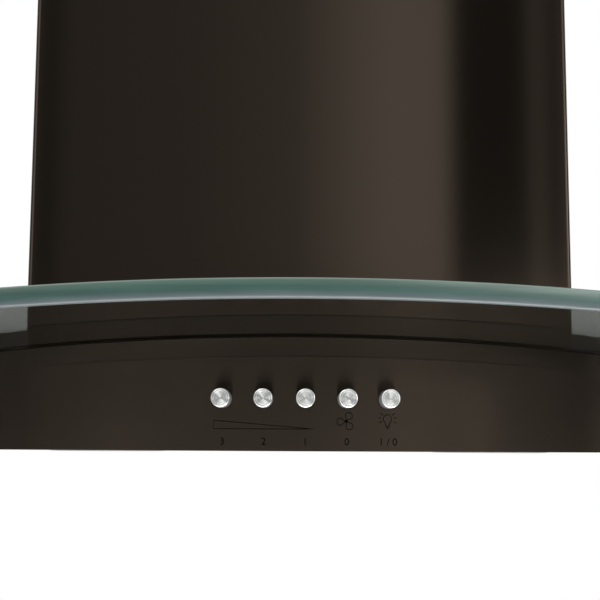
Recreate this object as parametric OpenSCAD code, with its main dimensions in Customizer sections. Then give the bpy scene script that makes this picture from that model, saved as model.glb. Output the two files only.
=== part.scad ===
// Wall mount range hood with an arched glass canopy.
// Millimetres. The wall is the plane y = 0, the front faces -Y and +Z is up.
// The origin is the middle of the four wall fixings.

/* [Glass] */
// Width of the glass canopy
glass_w = 760; // [700:10:900]
// Depth of the glass canopy at its middle
glass_d = 500; // [440:5:560]
// Thickness of the glass
glass_t = 8; // [5:0.5:10]
// Radius of the arch, seen from the front
arch_r = 1870; // [1500:10:2600]
// Radius of the front edge, seen from above
front_r = 930; // [800:10:1400]
// Radius of the two front corners of the glass
corner_r = 28; // [10:1:40]
// Height of the rail that stands on the glass along the wall
rail_h = 48; // [20:1:60]

/* [Body] */
// Width of the body under the glass
body_w = 600; // [560:5:640]
// Depth of the body at its middle
body_d = 352.5; // [340:0.5:365]
// Height of the front panel at its middle
body_h = 56.5; // [54:0.5:66]
// Radius of the front panel, seen from above
panel_r = 600; // [560:5:700]
// Angle at which the front panel leans back towards its bottom edge
lean = 6; // [0:0.5:8]
// Thickness of the front panel
panel_t = 1.2; // [1:0.1:1.5]
// Thickness of the other sheet metal of the body
sheet_t = 1; // [0.8:0.1:1.2]
// Width of the folded flanges
flange_w = 12; // [10:1:14]
// Height of the set back lip along the top of the front panel
lip_h = 9.5; // [6:0.5:12]
// Thickness of the gasket between the body and the glass
gasket_t = 1; // [0.8:0.1:2]

/* [Duct covers] */
// Width of the lower duct cover
cover_w = 300; // [296:1:330]
// Depth of the lower duct cover
cover_d = 298; // [294:1:306]
// Height of the lower duct cover above the glass
lower_h = 500; // [460:5:560]
// Height of the upper duct cover
upper_h = 480; // [450:5:500]
// Bend radius of the duct covers
bend_r = 2.5; // [2:0.5:5]
// Gap between the two duct covers
cover_gap = 1.5; // [1:0.1:2]
// Height of the upper cover's bottom edge above the body's bottom edge, when it is down
rest_h = 155; // [145:1:160]

/* [Controls] */
// Diameter of the push buttons
button_dia = 9.3; // [8:0.1:12]
// Distance that the buttons stand out of the front panel
button_out = 9; // [7:0.5:12]
// Travel of the buttons
button_travel = 3; // [2:0.5:4]
// Distance between neighbouring buttons
button_pitch = 20.75; // [18:0.25:24]
// Height of the buttons above the bottom edge of the front panel
button_h = 26.1; // [24:0.1:30]
// Sideways place of the middle button
row_x = 2.7; // [-10:0.1:10]

/* [Blower] */
// Width of the blower case
case_w = 264; // [256:1:266]
// Depth of the blower case
case_d = 260; // [255:1:270]
// Height of the top of the blower case above the body's bottom edge
case_h = 320; // [310:1:340]
// Radius of the impeller
wheel_r = 75; // [68:1:76]
// Length of the impeller
wheel_l = 136; // [120:2:140]
// Number of impeller blades
blade_n = 36; // [24:2:40]
// Radius of the impeller's shaft
shaft_r = 4; // [3:0.5:5]
// Largest radius of the blower housing
scroll_r = 104; // [98:1:106]
// Outside diameter of the duct collar
collar_dia = 149; // [120:1:149]
// Height of the duct collar
collar_h = 50; // [40:1:60]

/* [Wall fixing] */
// Height of the middle of the wall fixings above the body's bottom edge
fixing_h = 215; // [205:1:225]
// Sideways distance between the wall fixings
fixing_w = 200; // [160:5:220]
// Upright distance between the wall fixings
fixing_rise = 140; // [100:5:160]
// Diameter of the wall fixing holes
fixing_dia = 7; // [6:0.5:9]

/* [Filters and lamps] */
// Width of a grease filter
filter_w = 244; // [220:1:246]
// Depth of a grease filter
filter_d = 232; // [210:1:236]
// Thickness of a grease filter
filter_t = 9; // [8:0.5:10]
// Width of the bar between the two filter openings
bar_w = 14; // [12:1:18]
// Diameter of the lamp openings
lamp_dia = 56; // [48:1:58]
// Sideways place of the lamps
lamp_x = 105; // [90:1:130]
// Depth of the lamps' middle in front of the wall
lamp_d = 285; // [280:1:290]

/* [Hidden] */
$fn = 72;

// Clearances
seat_gap = 0.3;          // between pieces that sit on each other without a joint between them
fit_gap = 0.08;          // round a pin or shaft that turns in its bore
slip_gap = 0.3;          // round a button or latch that slides
overcut = 1;             // cuts run this far past the faces that they open
bore_l = 20;             // length of the cuts for screws through sheet metal
arch_dip = 20;           // upright pieces start this far down and are cut off along the arch

// Heights above the bottom edge of the body
glass_z = body_h + gasket_t;
cover_z = glass_z + glass_t;
deck_low = -gasket_t - panel_t - sheet_t;   // underside of the deck, from the underside of the glass
case_flange_low = deck_low - sheet_t;
notch_z = body_h - 13.5; // the notch for the back plate in the hood shell starts here

// Seats on the body
lip_set = 0.5;           // the lip along the top of the front panel is set back this far
stud_places = [-250, -150, -55, 55, 150, 250];
stud_ring = panel_r - body_h * tan(lean) - flange_w / 2;
plate_t = 1.5;           // back plate
plate_end = 15;          // the back plate reaches at least this far above the upper fixings
plate_top = max(case_h, fixing_h + fixing_rise / 2 + plate_end);
case_flange_w = flange_w + 2;
case_screw_rows = [70, 200];
case_screw_x = [-80, 80];
glass_gap = 3;           // between the glass and the blower case
rail_t = 2;
rail_end = 6;            // from the end of the rail to the side edge of the glass

// Plan of the body
panel_cy = panel_r - body_d;
filter_front_gap = 1.5;
filter_rear_gap = 3;
filter_wall_gap = 12;
filter_side_gap = 1.5;
opening_w = filter_w + 2 * filter_side_gap;
opening_d = filter_d + filter_front_gap + filter_rear_gap;
filter_x = bar_w / 2 + opening_w / 2;
filter_rear = filter_wall_gap + filter_rear_gap;
filter_z = panel_t + sheet_t + 0.3;
rim_h = 5;
rim_t = 1;
hinge_pin_r = 1.5;
hinge_pin_in = 3.5;      // length of each pin inside its ear
hinge_in = 3;            // from the filter's rear edge to its hinge line
hinge_d = filter_rear + hinge_in;
hinge_z = filter_z + filter_t / 2;
ear_w = 5;
ear_d = 8;

// Buttons
button_n = 5;
hole_r = button_dia / 2 + slip_gap;
stem_r = 2.5;
collar_step = 1.2;       // the button's own collar stands this far outside its hole
collar_gap = (hole_r + collar_step) * tan(lean);  // the buttons lie level behind the leaning panel
collar_t = 1;
block_gap = panel_t + seat_gap + 2 * collar_gap + collar_t + button_travel + 0.5;
block_t = 14;
block_h = 20;
block_end = 10;          // from the last button to the end of the switch block
stem_in = 8;
bevel = 0.9;
bracket_leg = 6;
block_w = (button_n - 1) * button_pitch + 2 * block_end;
leg_x = block_w / 2 + 1.5 * bracket_leg;

// Blower
shaft_d = 128;           // depth of the impeller's axis in front of the wall
shaft_h = 165;           // its height
scroll_w = wheel_l + 14;
scroll_t = 2;
tongue_a = 135;          // where the spiral starts, from the front and upwards
tongue_r = wheel_r + 6;
wheel_in_r = wheel_r - 13;
wheel_ring = 3;
web_t = 2;
web_rim = 4;             // the web overlaps the blades' inner edges by this much
hub_r = 3 * shaft_r;
hub_l = 14;
blade_r = 9;             // outer radius of a blade's curve
blade_t = 1.2;
blade_drop = 6.5;        // the middle of a blade's curve lies this far behind the blade
eye_r = wheel_in_r - 2;
ring_r = eye_r + 9;      // middle of the inlet rings' rim
ring_bend = 6;
motor_front = -12;       // the motor's front face lies this far from the middle of the impeller
shaft_in = 20;           // length of shaft inside the motor
arm_w = 10;
arm_t = 2;
motor_r = 40;
motor_l = wheel_l / 2 - 6;
outlet_u = (scroll_r + tongue_r * cos(tongue_a)) / 2;   // middle of the outlet, from the axis
collar_d = shaft_d + outlet_u;
collar_r = collar_dia / 2;
collar_wall = 2;
flap_r = collar_r - collar_wall - 1;
flap_t = 1.2;
flap_h = 25;             // height of the flaps' pins above the collar's flange
flap_apart = 5;          // each pin lies this far from the collar's middle
flap_pin_r = 1.5;
conduit_x = 110;
conduit_d = 175;
conduit_r = 11;

// Fasteners
screw_r = 2;
head_r = 4;
head_h = 2.2;
nut_r = 3.9;
nut_h = 3.2;
clamp_w = 13;
clamp_t = 1.5;
pad_t = 1.5;
clamp_h = 16;
clamp_rows = [60, 210];
clamp_x = [-70, 70];
clamp_rear = 20;         // from the wall to the side clamps
clamp_front = 10;        // from the side clamps to the case's front
clamp_corner = 30;       // from the case's corner to the front clamp
collar_flange_w = 14;

// Duct covers and their brackets
upper_w = cover_w - 2 * (sheet_t + cover_gap);
upper_d0 = sheet_t + 0.5;
upper_d = cover_d - sheet_t - cover_gap - upper_d0;
slot_n = 9;
slot_l = 22;
slot_w = 4;
slot_step = 10.4;
slot_rows = [28, 56];    // from the upper cover's top edge to the bottom of each row
tab_l = 24;
tab_in = 7;
tab_h = 12;
tab_rows = [50, 220];
bracket_h = 98;
bracket_d = 110;
bracket_w = 30;
bracket_rise = 22;
ceiling_h = 30;
ceiling_z = rest_h + upper_h - ceiling_h - 5;
ceiling_hole_w = 200;
arm_d = 60;

// Filters
frame_bar = 12;
front_bar = 20;
frame_sheet = 1.5;
bolt_w = 12;
bolt_t = 2;
bolt_l = 18;
bolt_out = 5;
bolt_z = panel_t + sheet_t + rim_h + 0.4;
tab_set = 9;             // from the filter's front edge to the rear of the latch's finger tab
pull_t = 1.2;
latch_travel = 6;
pleat = 10;
mesh_t = 0.8;

// Lamps, terminal box, bushing and capacitor
lamp_deep = 24;
lamp_wall = 1.8;
bezel_w = 10;
bezel_out = 0.6;
lens_low = 0.25;
lens_seat = 3;
box_w = 40;
box_d = 70;
box_h = 60;
box_t = 1.5;
box_z = case_h - sheet_t - box_h;
bush_bore_r = 8;
cap_r = 16;
cap_l = 56;
cap_z = 232;
cap_foot = 6;

// Sets everything down so that the wall fixings' middle is the origin
module hung() translate([0, 0, -fixing_h]) children();

// A block centred on x, from depth d0 in front of the wall
module block(w, d, h, x = 0, d0 = 0, z = 0)
    translate([x - w / 2, -(d0 + d), z]) cube([w, d, h]);

// Both sides of the hood
module both_sides() {
    children();
    mirror([1, 0, 0]) children();
}

// Everything below a surface that follows the arch, at a height above the underside of the glass
module under_arch(high, deep = glass_d)
    translate([0, overcut, glass_z - arch_r])
        rotate([90, 0, 0]) cylinder(r = arch_r + high, h = deep + 2 * overcut, $fn = 360);

// The part of its child that lies between two such heights
module arched(low, high) {
    intersection() {
        difference() {
            under_arch(high);
            under_arch(low, glass_d + 2 * overcut);
        }
        linear_extrude(cover_z + rail_h + arch_dip) children();
    }
}

// Rectangle in plan, from depth d0 in front of the wall
module plan_rect(w, d, d0 = 0, x = 0) translate([x - w / 2, -(d0 + d)]) square([w, d]);

// Plan of the body, drawn in by an inset
module body_plan(inset) {
    intersection() {
        plan_rect(body_w - 2 * inset, body_d - inset, 0);
        translate([0, panel_cy]) circle(r = panel_r - inset, $fn = 360);
    }
}

// The leaning cone of the front panel, drawn in by an inset
module lean_cone(inset, low = 0, high = body_h + 10) {
    translate([0, panel_cy, low])
        cylinder(h = high - low,
                 r1 = panel_r - (body_h - low) * tan(lean) - inset,
                 r2 = panel_r - (body_h - high) * tan(lean) - inset, $fn = 360);
}

// A sheet that follows the front panel at a distance behind its face
module behind_panel(from, to, w, x = 0, low = 0, high = body_h) {
    intersection() {
        difference() {
            lean_cone(from, low, high);
            lean_cone(to, low - overcut, high + overcut);
        }
        translate([x - w / 2, -body_d - overcut, low - overcut])
            cube([w, body_d / 2, high - low + 2 * overcut]);
    }
}

// Sideways place of a button, counted from the left
function button_x(i) = row_x + (i - (button_n - 1) / 2) * button_pitch;

// Puts its child on the face of the front panel, pointing outwards and down by an angle
module on_face(x, h, dip = lean) {
    face_r = panel_r - (body_h - h) * tan(lean);
    translate([0, panel_cy, h])
        rotate([0, 0, asin(x / face_r)])
            translate([0, -face_r, 0])
                rotate([90 + dip, 0, 0]) children();
}

// Screw whose head stands on z = 0 and whose shank runs down
module screw(len, r = screw_r, head = head_r) {
    rotate_extrude()
        polygon([[0, head_h], [head * 0.6, head_h], [head, head_h * 0.5], [head, 0],
                 [r, 0], [r, -len], [0, -len]]);
}

module nut(r = screw_r) {
    difference() {
        cylinder(r = nut_r, h = nut_h, $fn = 6);
        translate([0, 0, -overcut]) cylinder(r = r + fit_gap, h = nut_h + 2 * overcut);
    }
}

// Rounded rectangle, centred on x, from depth d0
module round_rect(w, d, r, d0 = 0) {
    plan_rect(w - 2 * r, d, d0);
    plan_rect(w, d - 2 * r, d0 + r);
    for (x = [-w / 2 + r, w / 2 - r], y = [d0 + r, d0 + d - r])
        translate([x, -y]) circle(r = r);
}

// Folded duct cover in plan, open to the wall between its two flanges
module cover_plan(w, d, d0) {
    difference() {
        round_rect(w, d, bend_r, d0);
        round_rect(w - 2 * sheet_t, d - 2 * sheet_t, bend_r - sheet_t, d0 + sheet_t);
        plan_rect(w - 2 * (sheet_t + flange_w), 3 * sheet_t, d0 - sheet_t);
    }
}

// Places of the studs in the front panel's bottom flange
module at_studs() {
    for (x = stud_places)
        translate([0, panel_cy, 0])
            rotate([0, 0, asin(x / stud_ring)])
                translate([0, -stud_ring, 0]) children();
}

// Strip in plan along the front of the body, one flange wide
module front_strip(inset) {
    difference() {
        body_plan(inset);
        translate([0, panel_cy]) circle(r = panel_r - flange_w, $fn = 360);
        plan_rect(body_w + 2 * overcut, body_d / 2, -overcut);
    }
}

module front_panel() color([0.13, 0.115, 0.1]) hung() {
    difference() {
        union() {
            intersection() {
                behind_panel(0, panel_t, body_w, 0, 0, body_h);
                under_arch(-gasket_t);
            }
            // top flange, along the arch
            intersection() {
                arched(-gasket_t - panel_t, -gasket_t) front_strip(panel_t / 2);
                lean_cone(panel_t / 2, -overcut, 2 * body_h);
            }
            // bottom flange and its studs
            intersection() {
                linear_extrude(panel_t) difference() {
                    body_plan(body_h * tan(lean));
                    translate([0, panel_cy]) circle(r = stud_ring - flange_w / 2, $fn = 360);
                    plan_rect(body_w + 2 * overcut, body_d / 2, -overcut);
                }
                lean_cone(panel_t / 2, -overcut, body_h);
            }
            at_studs() cylinder(r = screw_r, h = panel_t + sheet_t + nut_h + 1);
        }
        // the lip is set back a little from the face
        difference() {
            translate([-body_w, -2 * body_d, -gasket_t - lip_h])
                cube([2 * body_w, 2 * body_d, 2 * body_h + lip_h]);
            under_arch(-gasket_t - lip_h, 3 * body_d);
            lean_cone(lip_set, -body_h, 2 * body_h);
        }
        for (i = [0 : button_n - 1])
            on_face(button_x(i), button_h, 0) cylinder(r = hole_r, h = 6 * panel_t, center = true);
    }
}

module hood_shell() color([0.2, 0.2, 0.21]) hung() {
    difference() {
        union() {
            // deck under the glass, sides and back
            intersection() {
                lean_cone(panel_t + seat_gap, -overcut, 2 * body_h);
                union() {
                    arched(deck_low, deck_low + sheet_t) difference() {
                        body_plan(panel_t + seat_gap);
                        plan_rect(case_w + 2 * seat_gap, case_d + seat_gap + overcut, -overcut);
                    }
                    intersection() {
                        under_arch(deck_low + sheet_t / 2);
                        linear_extrude(body_h) difference() {
                            plan_rect(body_w, body_d);
                            plan_rect(body_w - 2 * sheet_t, body_d, sheet_t);
                        }
                    }
                }
            }
            // bottom flanges
            linear_extrude(panel_t) difference() {
                intersection() {
                    plan_rect(body_w - sheet_t, body_d);
                    translate([0, panel_cy]) circle(r = stud_ring - flange_w / 2 - seat_gap, $fn = 360);
                }
                plan_rect(body_w - 2 * flange_w, body_d, filter_wall_gap - rim_t - 1);
            }
        }
        // the back plate stands in a notch
        block(case_w + 2 * seat_gap, 3 * sheet_t, body_h, 0, -sheet_t, notch_z);
        at_case_screws() cylinder(r = screw_r + fit_gap, h = 12, center = true);
    }
}

module filter_places() {
    for (s = [-1, 1]) translate([s * filter_x, 0, 0]) children();
}

module bottom_panel() color([0.17, 0.16, 0.15]) hung() {
    difference() {
        union() {
            translate([0, 0, panel_t]) linear_extrude(sheet_t)
                intersection() {
                    body_plan(body_h * tan(lean) + panel_t + seat_gap);
                    plan_rect(body_w - 2 * (sheet_t + seat_gap), body_d, sheet_t + seat_gap);
                }
            // rims round the filter openings
            filter_places()
                translate([0, 0, panel_t]) linear_extrude(sheet_t + rim_h)
                    plan_rect(opening_w + 2 * rim_t, opening_d + 2 * rim_t, filter_wall_gap - rim_t);
            // ears that hold the filters' rear pins
            for (x = [-bar_w / 2 - opening_w - ear_w / 2, bar_w / 2 + opening_w + ear_w / 2])
                block(ear_w, ear_d, hinge_z + 3 - panel_t, x, hinge_d - ear_d / 2, panel_t);
            block(bar_w, ear_d, hinge_z + 3 - panel_t, 0, hinge_d - ear_d / 2, panel_t);
        }
        filter_places() block(opening_w, opening_d, body_h, 0, filter_wall_gap, -overcut);
        // bores for the filters' pins
        translate([-body_w / 2, -hinge_d, hinge_z]) rotate([0, 90, 0])
            cylinder(r = hinge_pin_r + fit_gap, h = body_w, $fn = 48);
        for (x = [-lamp_x, lamp_x])
            translate([x, -lamp_d, -overcut]) cylinder(d = lamp_dia, h = 10);
        at_studs() cylinder(r = screw_r + fit_gap, h = bore_l, center = true);
    }
}

module wall_holes() {
    for (x = [-fixing_w / 2, fixing_w / 2], z = [-fixing_rise / 2, fixing_rise / 2])
        translate([x, 0, fixing_h + z]) rotate([90, 0, 0])
            cylinder(d = fixing_dia, h = bore_l, center = true, $fn = 48);
}

module back_plate() color([0.6, 0.6, 0.6]) hung() {
    difference() {
        block(case_w, plate_t, plate_top - notch_z - 1, 0, 0, notch_z + 1);
        wall_holes();
    }
}

// Places of the screws that hold the case's flange to the deck, square to the arch
module at_case_screws() {
    side = (case_w + case_flange_w) / 2;
    for (s = [-1, 1], d = case_screw_rows) on_arch(s * side, d) children();
    for (x = case_screw_x) on_arch(x, case_d + case_flange_w / 2) children();
}
module on_arch(x, d)
    translate([0, -d, glass_z - arch_r])
        rotate([0, asin(x / arch_r), 0])
            translate([0, 0, arch_r + case_flange_low]) children();

module blower_case() color([0.62, 0.62, 0.63]) hung() {
    difference() {
        union() {
            difference() {
                block(case_w, case_d - plate_t, case_h - arch_dip, 0, plate_t, arch_dip);
                block(case_w - 2 * sheet_t, case_d - sheet_t + overcut, case_h - sheet_t, 0, -overcut);
                under_arch(case_flange_low, 2 * body_d);
            }
            arched(case_flange_low, deck_low) difference() {
                plan_rect(case_w + 2 * case_flange_w, case_d + case_flange_w - plate_t, plate_t);
                plan_rect(case_w - 2 * sheet_t, case_d - sheet_t + overcut, -overcut);
            }
        }
        translate([0, -collar_d, case_h]) cylinder(r = collar_r - collar_wall, h = 10, center = true);
        translate([conduit_x, -conduit_d, case_h]) cylinder(r = conduit_r, h = 10, center = true);
        at_case_screws() cylinder(r = screw_r + fit_gap, h = 12, center = true);
        at_collar_screws() cylinder(r = screw_r + fit_gap, h = bore_l, center = true);
        at_clamp_screws() cylinder(r = screw_r + fit_gap, h = bore_l, center = true);
        for (s = [-1, 1]) at_bracket_screws(s) cylinder(r = screw_r + fit_gap, h = 12, center = true);
    }
}

// Plan of the glass, with a fillet at each front corner
module glass_plan() {
    cy = front_r - glass_d;
    fx = glass_w / 2 - corner_r;
    fy = cy - sqrt(pow(front_r - corner_r, 2) - fx * fx);
    out = [fx, fy - cy] / (front_r - corner_r);
    touch = [0, cy] + front_r * out;
    difference() {
        intersection() {
            plan_rect(glass_w, glass_d - sheet_t, sheet_t);
            translate([0, cy]) circle(r = front_r, $fn = 360);
        }
        both_sides() difference() {
            polygon([[fx, fy], [fx + 2 * corner_r, fy], [fx + 2 * corner_r, fy - 2 * corner_r],
                     touch + corner_r * out]);
            translate([fx, fy]) circle(r = corner_r);
        }
    }
}

module glass_canopy() color([0.55, 0.75, 0.7, 0.5]) hung() {
    arched(0, glass_t) difference() {
        glass_plan();
        plan_rect(case_w + 2 * glass_gap, case_d + glass_gap + overcut, -overcut);
    }
}

module glass_gasket() color([0.03, 0.03, 0.03]) hung() {
    intersection() {
        arched(-gasket_t, -seat_gap) front_strip(panel_t);
        lean_cone(panel_t, -overcut, 2 * body_h);
    }
    // strips along the sides of the deck
    arched(deck_low + sheet_t, -seat_gap)
        both_sides() plan_rect(flange_w, body_d / 2 - 2, sheet_t, body_w / 2 - flange_w);
}

// Places of the screws that hold the clamps to the blower case
module at_clamp_screws() {
    z = cover_z + clamp_h - 5;
    for (s = [-1, 1], d = clamp_rows)
        translate([s * (case_w / 2 + clamp_t), -d, z]) rotate([0, s * 90, 0]) children();
    for (x = clamp_x)
        translate([x, -(case_d + clamp_t), z]) rotate([90, 0, 0]) children();
}

// Footprint of the clamps, round three sides of the blower case
module clamp_plan(w) {
    for (s = [-1, 1]) plan_rect(w, case_d - clamp_rear - clamp_front, clamp_rear, s * (case_w + w) / 2);
    plan_rect(case_w - 2 * clamp_corner, w, case_d);
}

module glass_clamps() color([0.55, 0.55, 0.56]) hung() {
    difference() {
        union() {
            arched(glass_t + pad_t, glass_t + pad_t + clamp_t) clamp_plan(clamp_w);
            difference() {
                linear_extrude(cover_z + clamp_h) clamp_plan(clamp_t);
                under_arch(glass_t + pad_t);
            }
        }
        at_clamp_screws() cylinder(r = screw_r + fit_gap, h = 8, center = true);
    }
}

module clamp_pads() color([0.05, 0.05, 0.05]) hung() {
    arched(glass_t, glass_t + pad_t) difference() {
        clamp_plan(clamp_w);
        plan_rect(case_w + 2 * (glass_gap + 1), case_d + glass_gap + 1 + overcut, -overcut);
    }
}

module rear_glass_rail() color([0.1, 0.1, 0.1]) hung() both_sides() {
    rail_w = glass_w / 2 - rail_end - cover_w / 2 - seat_gap;
    rail_x = cover_w / 2 + seat_gap + rail_w / 2;
    arched(glass_t, glass_t + rail_h) plan_rect(rail_w, rail_t, 0, rail_x);
    arched(glass_t, glass_t + rail_t) plan_rect(rail_w, flange_w, 0, rail_x);
}

module lower_duct_cover() color([0.13, 0.115, 0.1]) hung() {
    difference() {
        translate([0, 0, cover_z - arch_dip])
            linear_extrude(lower_h + arch_dip) cover_plan(cover_w, cover_d, 0);
        under_arch(glass_t + seat_gap);
        for (s = [-1, 1]) at_cover_screws(s) cylinder(r = screw_r + fit_gap, h = 8, center = true);
    }
}

module upper_duct_cover() color([0.13, 0.115, 0.1]) hung() {
    difference() {
        translate([0, 0, rest_h]) linear_extrude(upper_h) cover_plan(upper_w, upper_d, upper_d0);
        // vent slots near the top of both sides
        for (row = slot_rows, i = [0 : slot_n - 1])
            block(upper_w + 10, slot_w, slot_l, 0, upper_d / 2 + (i - (slot_n - 1) / 2) * slot_step,
                  rest_h + upper_h - row);
        for (s = [-1, 1]) at_ceiling_screws(s) cylinder(r = screw_r + fit_gap, h = 8, center = true);
    }
}

module cover_rest_tabs() color([0.55, 0.55, 0.56]) hung() both_sides() {
    inner = cover_w / 2 - sheet_t;
    for (d = tab_rows) {
        block(tab_in, tab_l, clamp_t, inner - tab_in / 2, d, rest_h - seat_gap - clamp_t);
        block(clamp_t, tab_l, tab_h, inner - clamp_t / 2, d, rest_h - seat_gap - tab_h);
    }
}

// Screws that join the lower cover to its brackets
module at_cover_screws(s)
    translate([s * cover_w / 2, -bracket_d, bracket_h]) rotate([0, s * 90, 0]) children();
module at_bracket_screws(s)
    translate([s * (case_w / 2 + clamp_t), -bracket_d, bracket_h + bracket_rise])
        rotate([0, s * 90, 0]) children();

module cover_brackets() color([0.55, 0.55, 0.56]) hung() {
    inner = cover_w / 2 - sheet_t;
    reach = inner - case_w / 2;
    half = bracket_rise / 2;
    rear = bracket_d - bracket_w / 2;
    difference() {
        both_sides() {
            block(clamp_t, bracket_w, 2 * half, inner - clamp_t / 2, rear, bracket_h - half);
            block(reach, bracket_w, clamp_t, case_w / 2 + reach / 2, rear, bracket_h + half);
            block(clamp_t, bracket_w, 2 * half, case_w / 2 + clamp_t / 2, rear, bracket_h + half);
        }
        for (s = [-1, 1]) {
            at_cover_screws(s) cylinder(r = screw_r + fit_gap, h = 8, center = true);
            at_bracket_screws(s) cylinder(r = screw_r + fit_gap, h = 8, center = true);
        }
    }
}

module at_ceiling_screws(s)
    translate([s * upper_w / 2, -(arm_d - 12), ceiling_z + ceiling_h / 2]) rotate([0, s * 90, 0]) children();

module ceiling_bracket() color([0.55, 0.55, 0.56]) hung() {
    step_d = upper_d0 + bend_r;
    inner = upper_w / 2 - sheet_t;
    difference() {
        union() {
            block(case_w, plate_t, ceiling_h, 0, 0, ceiling_z);
            both_sides() {
                block(plate_t, step_d + plate_t, ceiling_h, case_w / 2 - plate_t / 2, 0, ceiling_z);
                block(inner - case_w / 2 + plate_t, plate_t, ceiling_h,
                      (inner + case_w / 2 - plate_t) / 2, step_d, ceiling_z);
                block(plate_t, arm_d - step_d, ceiling_h, inner - plate_t / 2, step_d, ceiling_z);
            }
        }
        for (x = [-ceiling_hole_w / 2, ceiling_hole_w / 2])
            translate([x, 0, ceiling_z + ceiling_h / 2]) rotate([90, 0, 0])
                cylinder(d = fixing_dia, h = 10, center = true, $fn = 48);
        for (s = [-1, 1]) at_ceiling_screws(s) cylinder(r = screw_r + fit_gap, h = 12, center = true);
    }
}

// Turned push button with a bevelled face, a collar behind the panel and a stem
module button(i) color([0.85, 0.85, 0.86]) hung() on_face(button_x(i), button_h, 0) {
    r = button_dia / 2;
    back = -panel_t - seat_gap - collar_gap;
    rotate_extrude()
        polygon([[0, button_out], [r - bevel, button_out], [r, button_out - bevel / 2], [r, back],
                 [r + collar_step, back], [r + collar_step, back - collar_t], [stem_r, back - collar_t],
                 [stem_r, -block_gap - stem_in], [0, -block_gap - stem_in]]);
}
module button_high() button(0);
module button_medium() button(1);
module button_low() button(2);
module button_off() button(3);
module button_light() button(4);

module switch_block() color([0.12, 0.12, 0.13]) hung() {
    difference() {
        behind_panel(block_gap, block_gap + block_t, block_w, row_x,
                     button_h - block_h / 2, button_h + block_h / 2);
        for (i = [0 : button_n - 1])
            on_face(button_x(i), button_h, 0)
                translate([0, 0, -block_gap - stem_in - button_travel - 0.5])
                    cylinder(r = stem_r + fit_gap, h = stem_in + button_travel + 4);
    }
}

// Bracket that holds the switch block to the front panel
module switch_bracket() color([0.6, 0.6, 0.6]) hung() {
    low = button_h - block_h / 2;
    high = button_h + block_h / 2;
    back = block_gap + block_t;
    difference() {
        union() {
            behind_panel(back, back + clamp_t, block_w + 4 * bracket_leg, row_x, low, high);
            for (s = [-1, 1])
                behind_panel(panel_t, back, bracket_leg, row_x + s * leg_x, low, high);
        }
        for (s = [-1, 1]) at_switch_screws(s) cylinder(r = screw_r, h = bore_l, center = true);
    }
}
module at_switch_screws(s)
    on_face(row_x + s * leg_x, button_h)
        translate([0, 0, -(block_gap + block_t + clamp_t)]) rotate([180, 0, 0]) children();

// Radius of the spiral at an angle from the front, running down the back and up the front
function spiral_r(a) = tongue_r + (scroll_r - tongue_r) * (a - tongue_a) / (360 - tongue_a);
// Outline of the scroll and its upright outlet, drawn in by a wall
module scroll_plan(wall) {
    top = case_h - sheet_t - shaft_h + (wall > 0 ? overcut : 0);
    spiral = [for (a = [tongue_a : 9 : 360]) (spiral_r(a) - wall) * [cos(a), sin(a)]];
    polygon(concat([[tongue_r * cos(tongue_a) + wall, top]], spiral, [[scroll_r - wall, top]]));
}
// Turns a plan in depth and height to stand across the hood, centred on x
module across(w, x = 0)
    translate([x - w / 2, -shaft_d, shaft_h])
        rotate([90, 0, -90]) translate([0, 0, -w]) linear_extrude(w) children();

module blower_housing() color([0.16, 0.16, 0.17]) hung() {
    difference() {
        across(scroll_w) scroll_plan(0);
        across(scroll_w - 2 * scroll_t) scroll_plan(scroll_t);
        across(scroll_w + 4) circle(r = eye_r + 3);
        at_collar_screws() cylinder(r = screw_r + fit_gap, h = 2 * bore_l, center = true);
    }
}

// The part of a disc above a height
module half_disc(r, low) intersection() {
    circle(r = r);
    translate([-r, low]) square([2 * r, r - low]);
}

// Flared ring at each of the two air inlets
module inlet_rings() color([0.16, 0.16, 0.17]) hung() {
    for (s = [-1, 1])
        translate([s * scroll_w / 2, -shaft_d, shaft_h]) rotate([0, s * 90, 0])
            rotate_extrude() translate([eye_r + ring_bend, 0]) difference() {
                union() {
                    square([ring_bend, scroll_t]);
                    half_disc(ring_bend, 0);
                }
                half_disc(ring_bend - scroll_t, -overcut);
            }
}

// Wheel with forward curved blades, fed from both ends
module impeller() color([0.7, 0.7, 0.72]) hung()
    translate([0, -shaft_d, shaft_h]) rotate([0, 90, 0]) difference() {
        union() {
            for (s = [-1, 1])
                translate([0, 0, s * (wheel_l - wheel_ring) / 2]) difference() {
                    cylinder(r = wheel_r, h = wheel_ring, center = true);
                    cylinder(r = wheel_in_r, h = wheel_ring + 2, center = true);
                }
            translate([0, 0, -web_t / 2]) cylinder(r = wheel_in_r + web_rim, h = web_t);
            cylinder(r = hub_r, h = hub_l);
            for (i = [0 : blade_n - 1]) rotate([0, 0, i * 360 / blade_n])
                translate([0, 0, -wheel_l / 2]) linear_extrude(wheel_l) blade_plan();
        }
        cylinder(r = shaft_r, h = 3 * hub_l, center = true);
    }
// One blade: a crescent between the inner and outer radius
module blade_plan() {
    mid = (wheel_r + wheel_in_r) / 2;
    deep = wheel_r - wheel_in_r;
    intersection() {
        translate([mid, -blade_drop]) difference() {
            circle(r = blade_r, $fn = 48);
            circle(r = blade_r - blade_t, $fn = 48);
        }
        difference() {
            circle(r = wheel_r - 0.2);
            circle(r = wheel_in_r + 0.2);
        }
        translate([mid - deep, -blade_drop]) square([2 * deep, 2 * blade_drop]);
    }
}

module motor_shaft() color([0.8, 0.8, 0.8]) hung()
    translate([motor_front - shaft_in, -shaft_d, shaft_h]) rotate([0, 90, 0])
        cylinder(r = shaft_r, h = hub_l - motor_front + shaft_in);

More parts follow.
